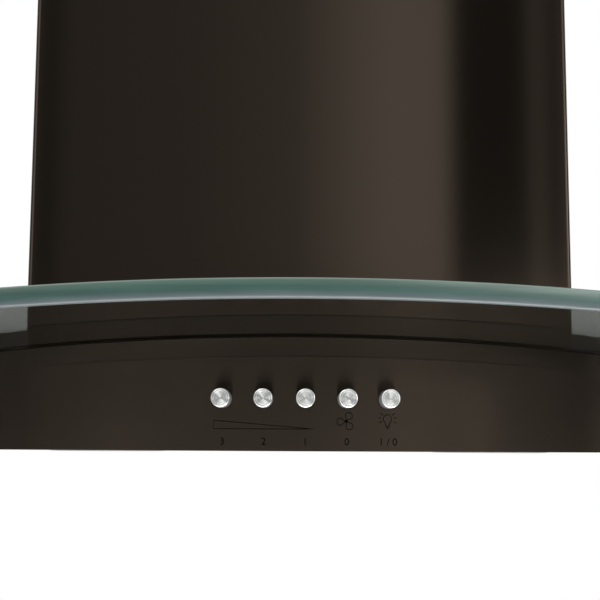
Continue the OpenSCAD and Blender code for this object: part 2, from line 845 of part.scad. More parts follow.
module motor() color([0.5, 0.5, 0.52]) hung()
    translate([motor_front - motor_l, -shaft_d, shaft_h]) rotate([0, 90, 0]) difference() {
        union() {
            cylinder(r = motor_r, h = motor_l - 6);
            cylinder(r = motor_r - 8, h = motor_l - 2);
            cylinder(r = hub_r, h = motor_l);
            for (a = [0 : 30 : 330]) rotate([0, 0, a])
                translate([motor_r - 1, -1, 6]) cube([2.5, 2, motor_l - 18]);
        }
        translate([0, 0, motor_l - shaft_in - 4]) cylinder(r = shaft_r + fit_gap, h = shaft_in + 8);
    }

// Three armed mount that carries the motor from the left inlet
module motor_mount() color([0.6, 0.6, 0.6]) hung()
    translate([-scroll_w / 2, -shaft_d, shaft_h]) rotate([0, 90, 0]) {
        back = scroll_w / 2 + motor_front - motor_l;
        foot = ring_bend + arm_t;
        translate([0, 0, back - arm_t]) cylinder(r = motor_r - 6, h = arm_t);
        for (a = [90 : 120 : 330]) rotate([0, 0, a]) translate([0, -arm_w / 2, 0]) {
            translate([motor_r - 10, 0, back - arm_t]) cube([10, arm_w, arm_t]);
            translate([motor_r - arm_t, 0, -foot]) cube([arm_t, arm_w, back + foot]);
            translate([motor_r - arm_t, 0, -foot]) cube([ring_r + 7 - motor_r + arm_t, arm_w, arm_t]);
            translate([ring_r + 5, 0, -foot]) cube([arm_t, arm_w, foot]);
        }
    }

module at_collar_screws() {
    for (a = [45 : 90 : 315])
        translate([0, -collar_d, case_h + clamp_t]) rotate([0, 0, a])
            translate([collar_r + collar_flange_w - 5, 0, 0]) children();
}

module outlet_collar() color([0.15, 0.15, 0.16]) hung() {
    inner = collar_r - collar_wall;
    difference() {
        translate([0, -collar_d, case_h]) {
            cylinder(r = collar_r + collar_flange_w, h = clamp_t);
            cylinder(r = collar_r, h = collar_h);
        }
        translate([0, -collar_d, case_h - overcut]) cylinder(r = inner, h = collar_h + 2 * overcut);
        for (s = [-1, 1])
            translate([-collar_r - 5, -collar_d + s * flap_apart, case_h + flap_h]) rotate([0, 90, 0])
                cylinder(r = flap_pin_r + fit_gap, h = 2 * collar_r + 10, $fn = 48);
        at_collar_screws() cylinder(r = screw_r + fit_gap, h = bore_l, center = true);
    }
    // lugs on which the flaps rest
    for (s = [-1, 1])
        translate([0, -collar_d, case_h + flap_h - flap_pin_r - seat_gap - 3])
            intersection() {
                translate([-8, s * (inner - 3) - 4, 0]) cube([16, 8, 3]);
                cylinder(r = inner + collar_wall / 2, h = 3);
            }
}

// Half round flap on its pin; s is 1 for the rear one and -1 for the front one
module damper_flap(s) color([0.75, 0.75, 0.76]) hung()
    translate([0, -collar_d, case_h + flap_h]) {
        translate([0, s * flap_apart, 0]) rotate([0, 90, 0])
            cylinder(r = flap_pin_r, h = 2 * (collar_r - 0.2), center = true, $fn = 48);
        translate([0, 0, -flap_pin_r]) linear_extrude(flap_t) intersection() {
            circle(r = flap_r);
            translate([-flap_r, s > 0 ? flap_apart - 4 : -flap_r])
                square([2 * flap_r, flap_r - flap_apart + 4]);
        }
    }
module damper_flap_front() damper_flap(-1);
module damper_flap_rear() damper_flap(1);

// Filter frame with its rear pins and a slotted front bar for the latch
module filter_frame(s) color([0.78, 0.79, 0.8]) hung() translate([s * filter_x, 0, 0]) {
    front = filter_rear + filter_d;
    difference() {
        union() {
            difference() {
                block(filter_w, filter_d, filter_t, 0, filter_rear, filter_z);
                block(filter_w - 2 * frame_bar, filter_d - frame_bar - front_bar, filter_t + 2, 0,
                      filter_rear + frame_bar, filter_z - 1);
                // hollow underside of the bars
                translate([0, 0, filter_z + frame_sheet]) difference() {
                    block(filter_w - 2, filter_d - front_bar - 1, filter_t - 2.5, 0, filter_rear + 8);
                    block(filter_w - 2 * frame_bar + 2, filter_d, filter_t, 0, filter_rear);
                }
            }
            // groove that holds the mesh
            difference() {
                block(filter_w - 2 * frame_bar + 2, filter_d - frame_bar - front_bar + 2, 1, 0,
                      filter_rear + frame_bar - 1, filter_z);
                block(filter_w - 2 * frame_bar - 6, filter_d - frame_bar - front_bar - 6, 3, 0,
                      filter_rear + frame_bar + 3, filter_z - 1);
            }
            translate([0, -hinge_d, hinge_z]) rotate([0, 90, 0])
                cylinder(r = hinge_pin_r, h = filter_w + 2 * (filter_side_gap + hinge_pin_in),
                         center = true, $fn = 48);
        }
        // room for the latch bolt and for its finger tab
        block(bolt_w + 2 * slip_gap, bolt_l + latch_travel + 2, bolt_t + 2 * slip_gap, 0,
              front - bolt_l + bolt_out - latch_travel - 1, bolt_z - slip_gap);
        block(bolt_w + 2 * slip_gap, 3 + latch_travel + 2 * slip_gap, filter_t, 0,
              front - tab_set - latch_travel - slip_gap, filter_z - 2);
    }
}
module filter_frame_left() filter_frame(-1);
module filter_frame_right() filter_frame(1);

// Pleated mesh
module filter_mesh(s) color([0.7, 0.71, 0.72]) hung() {
    w = filter_w - 2 * frame_bar - 2 * seat_gap;
    n = floor(w / pleat);
    step = w / n;
    deep = filter_t - 2.5 - mesh_t;
    zig = [for (i = [0 : n]) [i * step - w / 2, (i % 2) * deep]];
    translate([s * filter_x, -filter_rear - frame_bar - seat_gap, filter_z + 1 + seat_gap]) rotate([90, 0, 0])
        linear_extrude(filter_d - frame_bar - front_bar - 2 * seat_gap)
            polygon(concat(zig, [for (i = [n : -1 : 0]) zig[i] + [0, mesh_t]]));
}
module filter_mesh_left() filter_mesh(-1);
module filter_mesh_right() filter_mesh(1);

// Latch: a bolt over the rim, a finger tab through the bar and a pull plate under it
module filter_latch(s) color([0.8, 0.8, 0.8]) hung() translate([s * filter_x, 0, 0]) {
    front = filter_rear + filter_d;
    block(bolt_w, bolt_l, bolt_t, 0, front - bolt_l + bolt_out, bolt_z);
    block(bolt_w, 3, bolt_z + bolt_t - filter_z + 1, 0, front - tab_set, filter_z - 1);
    block(3 * bolt_w, 8, pull_t, 0, front - tab_set - 3, filter_z - slip_gap - pull_t);
}
module filter_latch_left() filter_latch(-1);
module filter_latch_right() filter_latch(1);

module at_lamps() for (x = [-lamp_x, lamp_x]) translate([x, -lamp_d, 0]) children();

module lamp_housings() color([0.5, 0.5, 0.52]) hung() at_lamps()
    rotate_extrude() difference() {
        union() {
            square([lamp_dia / 2 - seat_gap, lamp_deep + panel_t]);
            translate([0, panel_t + sheet_t]) square([lamp_dia / 2 + 3, 1]);
        }
        translate([0, -overcut]) square([lamp_dia / 2 - lamp_wall, lamp_deep]);
        square([lamp_dia, panel_t]);
    }

module lamp_bezels() color([0.75, 0.75, 0.76]) hung() at_lamps()
    rotate_extrude() difference() {
        translate([lamp_dia / 2 + 4 - bezel_w, -bezel_out]) square([bezel_w, panel_t + bezel_out]);
        translate([lamp_dia / 2 + 4, -bezel_out]) rotate(45) square(1, center = true);
        translate([lamp_dia / 2 + 4 - bezel_w, lens_low - 0.05]) square([lens_seat, 2]);
    }

module lamp_lenses() color([0.95, 0.95, 0.9, 0.7]) hung() at_lamps()
    translate([0, 0, lens_low]) cylinder(r = lamp_dia / 2 - lens_seat - 0.1, h = panel_t - 0.2);

module terminal_box() color([0.6, 0.6, 0.62]) hung() difference() {
    block(box_w, box_d, box_h, case_w / 2 - sheet_t - box_w / 2, conduit_d - box_d / 2, box_z);
    block(box_w, box_d - 2 * box_t, box_h - 2 * box_t, case_w / 2 - sheet_t - box_w / 2 - box_t,
          conduit_d - box_d / 2 + box_t, box_z + box_t);
    translate([conduit_x, -conduit_d, box_z]) cylinder(r = conduit_r, h = 2 * box_h);
}

module terminal_box_cover() color([0.6, 0.6, 0.62]) hung()
    block(box_t, box_d, box_h, case_w / 2 - sheet_t - box_w - box_t / 2, conduit_d - box_d / 2, box_z);

module conduit_bushing() color([0.06, 0.06, 0.06]) hung()
    translate([conduit_x, -conduit_d, case_h]) rotate_extrude()
        polygon([[bush_bore_r, 6], [conduit_r + 2, 6], [conduit_r + 4, 4], [conduit_r + 4, 0],
                 [conduit_r - fit_gap, 0], [conduit_r - fit_gap, -4], [bush_bore_r, -4]]);

module capacitor() color([0.75, 0.75, 0.72]) hung()
    translate([-case_w / 2 + sheet_t + cap_r + 4, -plate_t, cap_z]) rotate([90, 0, 0]) {
        cylinder(r = 4, h = cap_foot);
        translate([0, 0, cap_foot]) cylinder(r = cap_r, h = cap_l);
        for (x = [-5, 5]) translate([x - 2, -0.5, cap_foot + cap_l]) cube([4, 1, 7]);
    }

module clamp_screws() color([0.7, 0.7, 0.7]) hung() at_clamp_screws() screw(8);
module collar_screws() color([0.7, 0.7, 0.7]) hung() at_collar_screws() screw(9);
module cover_screws() color([0.15, 0.14, 0.13]) hung() for (s = [-1, 1]) at_cover_screws(s) screw(9);
module bracket_screws() color([0.7, 0.7, 0.7]) hung() {
    for (s = [-1, 1]) at_bracket_screws(s) screw(8);
}
module ceiling_screws() color([0.15, 0.14, 0.13]) hung() for (s = [-1, 1]) at_ceiling_screws(s) screw(8);
module panel_nuts() color([0.7, 0.7, 0.7]) hung() at_studs() translate([0, 0, panel_t + sheet_t]) nut();
module case_screws() color([0.7, 0.7, 0.7]) hung() at_case_screws() mirror([0, 0, 1]) screw(3);
module switch_screws() color([0.7, 0.7, 0.7]) hung() for (s = [-1, 1]) at_switch_screws(s) screw(9);

front_panel();
hood_shell();
bottom_panel();
back_plate();
blower_case();
glass_canopy();
glass_gasket();
glass_clamps();
clamp_pads();
rear_glass_rail();
lower_duct_cover();
upper_duct_cover();
cover_rest_tabs();
cover_brackets();
ceiling_bracket();
button_high();
button_medium();
button_low();
button_off();
button_light();
switch_block();
switch_bracket();
blower_housing();
inlet_rings();
impeller();
motor_shaft();
motor();
motor_mount();
outlet_collar();
damper_flap_front();
damper_flap_rear();
filter_frame_left();
filter_frame_right();
filter_mesh_left();
filter_mesh_right();
filter_latch_left();
filter_latch_right();
lamp_housings();
lamp_bezels();
lamp_lenses();
terminal_box();
terminal_box_cover();
conduit_bushing();
capacitor();
clamp_screws();
collar_screws();
cover_screws();
bracket_screws();
ceiling_screws();
panel_nuts();
case_screws();
switch_screws();
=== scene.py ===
"""Wall mount range hood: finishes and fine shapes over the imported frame, and the studio it is seen in."""
import math

import bmesh
import bpy
from bpy.props import FloatProperty, FloatVectorProperty, IntProperty, PointerProperty
from mathutils import Matrix, Vector


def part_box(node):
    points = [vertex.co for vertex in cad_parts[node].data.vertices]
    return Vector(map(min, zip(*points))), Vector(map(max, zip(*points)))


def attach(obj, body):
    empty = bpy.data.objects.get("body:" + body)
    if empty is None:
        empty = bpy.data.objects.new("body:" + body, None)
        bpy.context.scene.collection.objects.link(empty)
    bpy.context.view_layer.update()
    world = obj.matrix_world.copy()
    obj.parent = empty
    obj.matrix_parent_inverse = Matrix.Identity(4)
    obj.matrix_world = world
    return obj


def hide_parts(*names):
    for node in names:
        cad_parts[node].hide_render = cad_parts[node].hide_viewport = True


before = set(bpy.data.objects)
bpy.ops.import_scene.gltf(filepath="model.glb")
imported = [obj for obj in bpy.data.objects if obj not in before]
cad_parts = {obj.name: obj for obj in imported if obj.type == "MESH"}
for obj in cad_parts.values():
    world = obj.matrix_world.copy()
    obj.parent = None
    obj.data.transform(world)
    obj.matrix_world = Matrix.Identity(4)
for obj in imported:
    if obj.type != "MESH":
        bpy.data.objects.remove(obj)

bl_info = {
    "name": "Range hood with a glass canopy",
    "version": (1, 0, 0),
    "blender": (4, 5, 0),
    "location": "3D View > Sidebar > Hood",
    "description": "Dresses the frame of a wall mount range hood and sets up its studio",
    "category": "Object",
}

BUTTONS = ("button_high", "button_medium", "button_low", "button_off", "button_light")
# the body that the screws of each node ride on
SCREWS = {"clamp_screws": "hood", "collar_screws": "hood", "cover_screws": "hood", "bracket_screws": "hood",
          "ceiling_screws": "upper_cover", "case_screws": "hood", "switch_screws": "hood"}


class HoodError(RuntimeError):
    """A piece that can't be made from the frame as it stands."""


def length(name, description, default):
    """A length in metres."""
    return FloatProperty(name=name, description=description, default=default, unit="LENGTH", precision=5)


def angle(name, description, degrees):
    """An angle whose default is given in degrees."""
    return FloatProperty(name=name, description=description, default=math.radians(degrees), unit="ROTATION")


class BodyProps(bpy.types.PropertyGroup):
    """Sizes of the body, as in the frame"""
    fixing_h: length("Fixing height", "Height of the origin above the body's bottom edge", 0.215)
    body_d: length("Depth", "Depth of the body at its middle", 0.3525)
    body_h: length("Height", "Height of the front panel", 0.0565)
    panel_r: length("Panel radius", "Radius of the front panel from above", 0.6)
    lean: angle("Lean", "Lean of the front panel", 6)
    gasket_t: length("Gasket", "Thickness of the gasket", 0.001)
    lip_h: length("Lip", "Height of the lip along the panel's top", 0.0095)
    lip_turn: angle("Lip turn", "The lip faces up by this, against the panel", 3)


class CanopyProps(bpy.types.PropertyGroup):
    """Sizes of the glass"""
    width: length("Width", "Width of the glass", 0.76)
    depth: length("Depth", "Depth at the middle", 0.5)
    thickness: length("Thickness", "Thickness of the glass", 0.008)
    arch_r: length("Arch", "Radius seen from the front", 1.87)
    front_r: length("Front", "Radius of the front edge from above", 0.93)
    corner_r: length("Corners", "Radius of the front corners", 0.028)
    rear: length("Rear edge", "Distance of the rear edge from the wall", 0.001)
    cut_w: length("Cut-out width", "Width of the cut-out for the blower case", 0.27)
    cut_d: length("Cut-out depth", "Depth of the cut-out", 0.263)
    arris_top: length("Upper arris", "Ground edge at the top", 0.0005)
    arris_low: length("Lower arris", "Ground edge at the bottom", 0.0011)
    segments: IntProperty(name="Segments", description="Segments along the front edge",
                          default=240, min=24)


class ButtonProps(bpy.types.PropertyGroup):
    """Sizes of the push buttons"""
    row_x: length("Row", "Sideways place of the middle button", 0.0027)
    pitch: length("Pitch", "From button to button", 0.02075)
    height: length("Height", "Above the bottom edge", 0.0261)
    radius: length("Radius", "Radius of a button", 0.00465)
    out: length("Out", "Stands this far out of the panel", 0.009)
    back: length("Back", "From the panel's face to the button's collar", 0.0021)
    stem: length("Stem", "From the panel's face to the end of the stem", 0.0152)
    grooves: IntProperty(name="Grooves", description="Turned grooves on the face", default=3, min=1)


class FilterProps(bpy.types.PropertyGroup):
    """Sizes of the mesh in the grease filters"""
    pleat: length("Pleat", "Width of half a pleat", 0.01)
    half_height: length("Cell", "Half the height of a cell", 0.00145)
    strand: length("Strand", "Width of a strand", 0.0007)
    thickness: length("Thickness", "Thickness of a strand", 0.00028)


class StudioProps(bpy.types.PropertyGroup):
    """Camera and light"""
    lens: FloatProperty(name="Lens", description="Focal length on a 36 mm sensor, in millimetres",
                        default=69.0)
    place: FloatVectorProperty(name="Camera", description="Place of the camera",
                               default=(-0.0032, -0.9248, -0.2111), subtype="XYZ", unit="LENGTH")
    pitch: angle("Pitch", "The camera looks up by this", 7.11)
    yaw: angle("Yaw", "The camera looks right by this", 0.296)
    roll: angle("Roll", "The camera is turned by this", 0.292)
    floor_z: length("Floor", "Height of the floor", -1.1)
    ambient: FloatProperty(name="Ambient", description="Level of the light on matt surfaces", default=0.75)


def props(name):
    return getattr(bpy.context.scene, "hood_" + name)


def cad(name):
    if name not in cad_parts:
        raise HoodError(f"the frame has no node {name}")
    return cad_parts[name]


def link(obj):
    bpy.context.scene.collection.objects.link(obj)
    return obj


def mesh_object(name, verts, faces, material=None):
    """A linked object of a mesh from its vertices and faces."""
    mesh = bpy.data.meshes.new(name)
    mesh.from_pydata([tuple(v) for v in verts], [], faces)
    mesh.validate()
    mesh.update()
    if material:
        mesh.materials.append(material)
    return link(bpy.data.objects.new(name, mesh))


def baked(holder):
    """The mesh that an object comes to."""
    bpy.context.view_layer.update()
    return bpy.data.meshes.new_from_object(holder.evaluated_get(bpy.context.evaluated_depsgraph_get()))


class Nodes:
    """A node tree, with a short way to add to it. An output is given as a (node, output) pair."""

    def __init__(self, tree, at=0):
        self.tree = tree
        self.at = at

    def feed(self, node, key, value):
        """Sets an input to a value, or joins it to an output."""
        if isinstance(value, tuple) and isinstance(value[0], bpy.types.Node):
            self.tree.links.new(value[0].outputs[value[1]], node.inputs[key])
        else:
            node.inputs[key].default_value = value

    def node(self, kind, sockets=None, **settings):
        """A node with its settings and what goes into its sockets."""
        n = self.tree.nodes.new(kind)
        n.location = (self.at, 0)
        self.at += 180
        for key, value in settings.items():
            setattr(n, key, value)
        for key, value in (sockets or {}).items():
            self.feed(n, key, value)
        return n

    def sum(self, operation, a, b=0.0):
        return self.node("ShaderNodeMath", {0: a, 1: b}, operation=operation), "Value"

    def vector(self, x=0.0, y=0.0, z=0.0):
        return self.node("ShaderNodeCombineXYZ", {"X": x, "Y": y, "Z": z}), "Vector"

    def split(self, vector):
        n = self.node("ShaderNodeSeparateXYZ", {"Vector": vector})
        return [(n, axis) for axis in "XYZ"]

    def local(self):
        return self.node("ShaderNodeTexCoord"), "Object"

    def spread(self, value, low, high, to_low=0.0, to_high=1.0):
        """Runs between two levels while the value runs from low to high."""
        return self.node("ShaderNodeMapRange", {"Value": value, "From Min": low, "From Max": high,
                                                "To Min": to_low, "To Max": to_high}), "Result"

    def ramp(self, value, stops):
        """Colours through stops of a place and a colour, with rising places."""
        n = self.node("ShaderNodeValToRGB", {"Fac": value})
        elements = n.color_ramp.elements
        for i, (place, color) in enumerate(stops):
            e = elements[i] if i < 2 else elements.new(place)
            e.position = place
            e.color = (*color, 1.0)
        return n, "Color"


class Shader(Nodes):
    """A material of one principled shader."""
    labels = {"color": "Base Color", "ior": "IOR", "specular": "Specular IOR Level",
              "transmission": "Transmission Weight"}

    def __init__(self, name, **values):
        self.material = bpy.data.materials.new(name)
        self.material.use_nodes = True
        super().__init__(self.material.node_tree, -2400)
        self.bsdf = self.tree.nodes["Principled BSDF"]
        for key, value in values.items():
            self.set(self.labels.get(key, key.title()), (*value, 1.0) if isinstance(value, tuple) else value)

    def set(self, socket, value):
        self.feed(self.bsdf, socket, value)

    def noise(self, scale, detail, **more):
        """Noise that is stretched along the axes."""
        place = self.node("ShaderNodeMapping", {"Vector": self.local(), "Scale": scale}), "Vector"
        sockets = {"Vector": place, "Scale": 1.0, "Detail": detail, **more}
        return self.node("ShaderNodeTexNoise", sockets), "Fac"

    def grain(self, scale, strength, distance, detail=4.0):
        """Fine relief from noise that is stretched along the grain."""
        noise = self.noise(scale, detail, Roughness=0.6)
        bump = self.node("ShaderNodeBump", {"Height": noise, "Strength": strength, "Distance": distance})
        self.set("Normal", (bump, "Normal"))
        return noise


class Tree(Nodes):
    """A Geometry Nodes group with named inputs."""

    def __init__(self, name, **inputs):
        super().__init__(bpy.data.node_groups.new(name, "GeometryNodeTree"))
        face = self.tree.interface
        face.new_socket("Geometry", in_out="INPUT", socket_type="NodeSocketGeometry")
        self.keys = {}
        for label, kind in inputs.items():
            title = label.replace("_", " ").capitalize()
            socket = face.new_socket(title, in_out="INPUT", socket_type="NodeSocket" + kind)
            self.keys[label] = (title, socket.identifier)
        face.new_socket("Geometry", in_out="OUTPUT", socket_type="NodeSocketGeometry")
        self.source = self.node("NodeGroupInput")

    def given(self, *labels):
        """The named inputs."""
        return [(self.source, self.keys[label][0]) for label in labels]

    def finish(self, geometry):
        """Ends the tree in plain geometry with its material."""
        real = self.node("GeometryNodeRealizeInstances", {"Geometry": geometry}), "Geometry"
        material, = self.given("material")
        dressed = self.node("GeometryNodeSetMaterial", {"Geometry": real, "Material": material}), "Geometry"
        self.node("NodeGroupOutput", {"Geometry": dressed})

    def make(self, name, base, **values):
        """What the tree makes of a base mesh, as a plain mesh."""
        holder = link(bpy.data.objects.new(name + "_base", base))
        modifier = holder.modifiers.new("nodes", "NODES")
        modifier.node_group = self.tree
        for label, value in values.items():
            modifier[self.keys[label][1]] = value
        mesh = baked(holder)
        holder.modifiers.remove(modifier)
        bpy.data.objects.remove(holder)
        if not mesh.polygons:
            raise HoodError(f"{name}: the tree made nothing")
        mesh.name = name
        return link(bpy.data.objects.new(name, mesh))


def dress(material, *names):
    """Gives CAD nodes a material."""
    for name in names:
        mesh = cad(name).data
        mesh.materials.clear()
        mesh.materials.append(material)


def black_steel(name, low, high, scale=(6, 6, 2600), strength=0.04):
    """Dark steel whose fine brush runs sideways, so that what it mirrors is drawn out upwards."""
    s = Shader(name, color=(0.0194, 0.0152, 0.0116), metallic=1.0, anisotropic=1.0)
    noise = s.grain(scale, strength, 0.00002)
    s.set("Roughness", s.spread(noise, 0.35, 0.65, low, high))
    s.set("Tangent", s.vector(y=0.05, z=1.0))
    return s


def arch_level():
    """Height of the centre of the arch."""
    b = props("body")
    return b.body_h + b.gasket_t - b.fixing_h - props("canopy").arch_r


def above_arch(s):
    """Height above the underside of the glass, as an output."""
    x, _, z = s.split(s.local())
    root = s.sum("SQRT", s.sum("SUBTRACT", props("canopy").arch_r ** 2, s.sum("MULTIPLY", x, x)))
    return s.sum("SUBTRACT", s.sum("SUBTRACT", z, root), arch_level())


def lip_turn(s):
    """Turns the rolled lip along the top of the front panel a little upwards."""
    b = props("body")
    lip_low = -b.lip_h - b.gasket_t
    before, after = 0.0002, 0.0004
    rise = s.spread(above_arch(s), lip_low - before, lip_low + after, 0.0, math.tan(b.lip_turn))
    face = s.node("ShaderNodeNewGeometry"), "Normal"
    raised = s.node("ShaderNodeVectorMath", {0: face, 1: s.vector(z=rise)}, operation="ADD"), "Vector"
    unit = s.node("ShaderNodeVectorMath", {0: raised}, operation="NORMALIZE"), "Vector"
    bump = next(n for n in s.tree.nodes if n.type == "BUMP")
    s.feed(bump, "Normal", unit)


def galvanised():
    s = Shader("galvanised", color=(0.42, 0.43, 0.45), metallic=0.85, roughness=0.42)
    place = s.node("ShaderNodeMapping", {"Vector": s.local(), "Scale": (90, 90, 90)}), "Vector"
    cells = s.node("ShaderNodeTexVoronoi", {"Vector": place, "Scale": 1.0}), "Color"
    s.set("Base Color", s.ramp(cells, [(0.2, (0.34, 0.35, 0.37)), (0.8, (0.5, 0.51, 0.53))]))
    return s.material


def plain(name, color, roughness, metallic=0.0, fine=1800, strength=0.12, **more):
    """A finish with a fine even grain."""
    s = Shader(name, color=color, roughness=roughness, metallic=metallic, **more)
    s.grain((fine, fine, fine), strength, 0.00003, 3.0)
    return s.material


class HOOD_OT_finishes(bpy.types.Operator):
    """Gives every part of the frame its finish"""
    bl_idname = "hood.finishes"
    bl_label = "Finishes"

    def execute(self, context):
        dress(black_steel("black_cover", 0.1, 0.12).material, "lower_duct_cover", "upper_duct_cover")
        dress(black_steel("black_body", 0.16, 0.2, (6, 2600, 6), 0.02).material, "bottom_panel", "hood_shell")
        panel = black_steel("black_panel", 0.24, 0.27)
        lip_turn(panel)
        dress(panel.material, "front_panel")
        dress(galvanised(), "back_plate", "blower_case", "glass_clamps", "cover_rest_tabs", "cover_brackets",
              "ceiling_bracket", "switch_bracket", "motor_mount", "terminal_box", "terminal_box_cover")
        dress(plain("gasket_rubber", (0.012, 0.009, 0.007), 1.0, specular=0.0), "glass_gasket", "clamp_pads")
        dress(plain("black_paint", (0.02, 0.02, 0.02), 0.35), "rear_glass_rail")
        dress(plain("moulded_black", (0.02, 0.02, 0.022), 0.55), "switch_block", "conduit_bushing")
        dress(plain("fan_plastic", (0.04, 0.04, 0.044), 0.5), "blower_housing", "inlet_rings",
              "outlet_collar")
        dress(plain("aluminium", (0.62, 0.63, 0.65), 0.3, 1.0), "impeller", "damper_flap_front",
              "damper_flap_rear", "filter_frame_left", "filter_frame_right")
        dress(plain("mesh_sheet", (0.5, 0.51, 0.53), 0.35, 1.0), "filter_mesh_left", "filter_mesh_right")
        dress(plain("bright_steel", (0.6, 0.6, 0.61), 0.22, 1.0), "motor_shaft", "filter_latch_left",
              "filter_latch_right", "lamp_bezels", "clamp_screws", "collar_screws", "bracket_screws",
              "panel_nuts", "case_screws", "switch_screws")
        dress(plain("dark_screws", (0.03, 0.028, 0.026), 0.3, 1.0), "cover_screws", "ceiling_screws")
        dress(plain("motor_enamel", (0.1, 0.105, 0.115), 0.4, 0.3), "motor")
        dress(plain("lamp_shell", (0.5, 0.5, 0.5), 0.4, 0.6), "lamp_housings")
        dress(plain("frosted_lens", (0.9, 0.9, 0.88), 0.5, 0.0, 900, 0.3), "lamp_lenses")
        dress(plain("capacitor_case", (0.7, 0.7, 0.66), 0.3), "capacitor")
        return {"FINISHED"}


def glass_columns(p):
    """Sideways places along the front edge with the depth and outward direction at each."""
    cy = p.front_r - p.depth
    fx = p.width / 2 - p.corner_r
    fy = cy - math.sqrt((p.front_r - p.corner_r) ** 2 - fx * fx)
    turn = math.asin(fx / (p.front_r - p.corner_r))
    half = []
    n = p.segments // 2
    for i in range(n + 1):
        a = turn * i / n
        half.append((p.front_r * math.sin(a), p.front_r * math.cos(a) - cy, math.sin(a), math.cos(a)))
    corner_steps = 10
    for i in range(1, corner_steps + 1):
        a = turn + (math.pi / 2 - turn) * i / corner_steps
        half.append((fx + p.corner_r * math.sin(a), -fy + p.corner_r * math.cos(a), math.sin(a), math.cos(a)))
    # a column at each side of the cut-out
    cut = p.cut_w / 2
    k = min(range(1, n), key=lambda i: abs(half[i][0] - cut))
    a = math.asin(cut / p.front_r)
    half[k] = (cut, p.front_r * math.cos(a) - cy, math.sin(a), math.cos(a))
    return [(-x, d, -u, v) for x, d, u, v in reversed(half[1:])] + half


def glass_outline(p, columns):
    """The outline of the glass, counted round, as (place, outward direction)."""
    cut, slack = p.cut_w / 2, 1e-6
    places = [x for x, _, _, _ in reversed(columns)]
    front = [((x, d), (u, v)) for x, d, u, v in columns]
    left = [((-p.width / 2, p.cut_d), (-1, 0))]
    right = [((p.width / 2, p.cut_d), (1, 0))]
    rear_right = [((x, p.rear), (0, -1)) for x in places if x > cut + slack]
    rear_left = [((x, p.rear), (0, -1)) for x in places if x < -cut - slack]
    notch = [((x, p.cut_d), (0, -1)) for x in places if abs(x) < cut - slack]
    rear_right[0] = (rear_right[0][0], (1, -1))
    rear_left[-1] = (rear_left[-1][0], (-1, -1))
    return (front + right + rear_right + [((cut, p.rear), (-1, -1)), ((cut, p.cut_d), (-1, -1))] + notch
            + [((-cut, p.cut_d), (1, -1)), ((-cut, p.rear), (1, -1))] + rear_left + left)


def glass_mesh(p):
    """The arched glass with its arrises; its slots are clear, ground edge, lower and upper arris."""
    columns = glass_columns(p)
    outline = glass_outline(p, columns)
    level = arch_level()
    low, top = p.arris_low, p.arris_top
    # height and inset of each ring: a rounded arris below and a flat one above
    layers = ((0.0, low), (low * 0.18, low * 0.45), (low * 0.5, low * 0.13), (low, 0.0),
              (p.thickness - top, 0.0), (p.thickness, top))
    last = len(layers) - 1
    bm = bmesh.new()

    def vert(x, d, high):
        return bm.verts.new((x, -d, level + math.sqrt((p.arch_r + high) ** 2 - x * x)))

    rings = [[vert(x - u * inset, d - v * inset, high) for (x, d), (u, v) in outline]
             for high, inset in layers]
    for k in range(last):
        for i in range(len(outline)):
            j = (i + 1) % len(outline)
            f = bm.faces.new((rings[k][i], rings[k][j], rings[k + 1][j], rings[k + 1][i]))
            f.material_index = (2, 2, 2, 1, 3)[k]
    # faces between the outline's opposite sides
    on_outline = {}
    for i, ((x, d), _) in enumerate(outline):
        on_outline.setdefault((round(x, 6), round(d, 6)), i)
    inner = {}

    def corner(k, x, d):
        i = on_outline.get((round(x, 6), round(d, 6)))
        if i is not None:
            return rings[k][i]
        if (k, x, d) not in inner:
            inner[k, x, d] = vert(x, d, layers[k][0])
        return inner[k, x, d]

    for k in (0, last):
        for (x0, d0, _, _), (x1, d1, _, _) in zip(columns, columns[1:]):
            rows = [(p.cut_d, p.cut_d), (d0, d1)]
            if abs(x0 + x1) > p.cut_w:
                rows.insert(0, (p.rear, p.rear))
            for (a0, a1), (b0, b1) in zip(rows, rows[1:]):
                quad = [corner(k, x0, a0), corner(k, x1, a1), corner(k, x1, b1), corner(k, x0, b0)]
                bm.faces.new(quad if k else quad[::-1])
    bmesh.ops.recalc_face_normals(bm, faces=bm.faces)
    for f in bm.faces:
        f.smooth = True
    # sharp where an arris meets a face, and where the upper one meets the edge
    for e in bm.edges:
        kinds = {f.material_index for f in e.link_faces}
        e.smooth = kinds not in ({0, 2}, {0, 3}, {1, 3}) and e.calc_face_angle(0.0) < math.radians(35)
    mesh = bpy.data.meshes.new("glass_canopy_fine")
    bm.to_mesh(mesh)
    bm.free()
    return mesh


def clear_glass():
    """Clear glass that is darker at a slant: painted shade on what is seen through it, far more than the
    longer path through the glass at a slant would give.
    """
    s = Shader("canopy_clear", roughness=0.0, ior=1.5, transmission=1.0)
    slant = s.spread((s.node("ShaderNodeLayerWeight"), "Facing"), 0.6, 0.9)
    # painted shade: the colour goes from clear to dark grey as the look through the glass gets more slanted
    deep = s.node("ShaderNodeMix", {0: slant, 6: (0.82, 0.88, 0.85, 1.0), 7: (0.115, 0.12, 0.108, 1.0)},
                  data_type="RGBA")
    s.set("Base Color", (deep, 2))
    return s.material


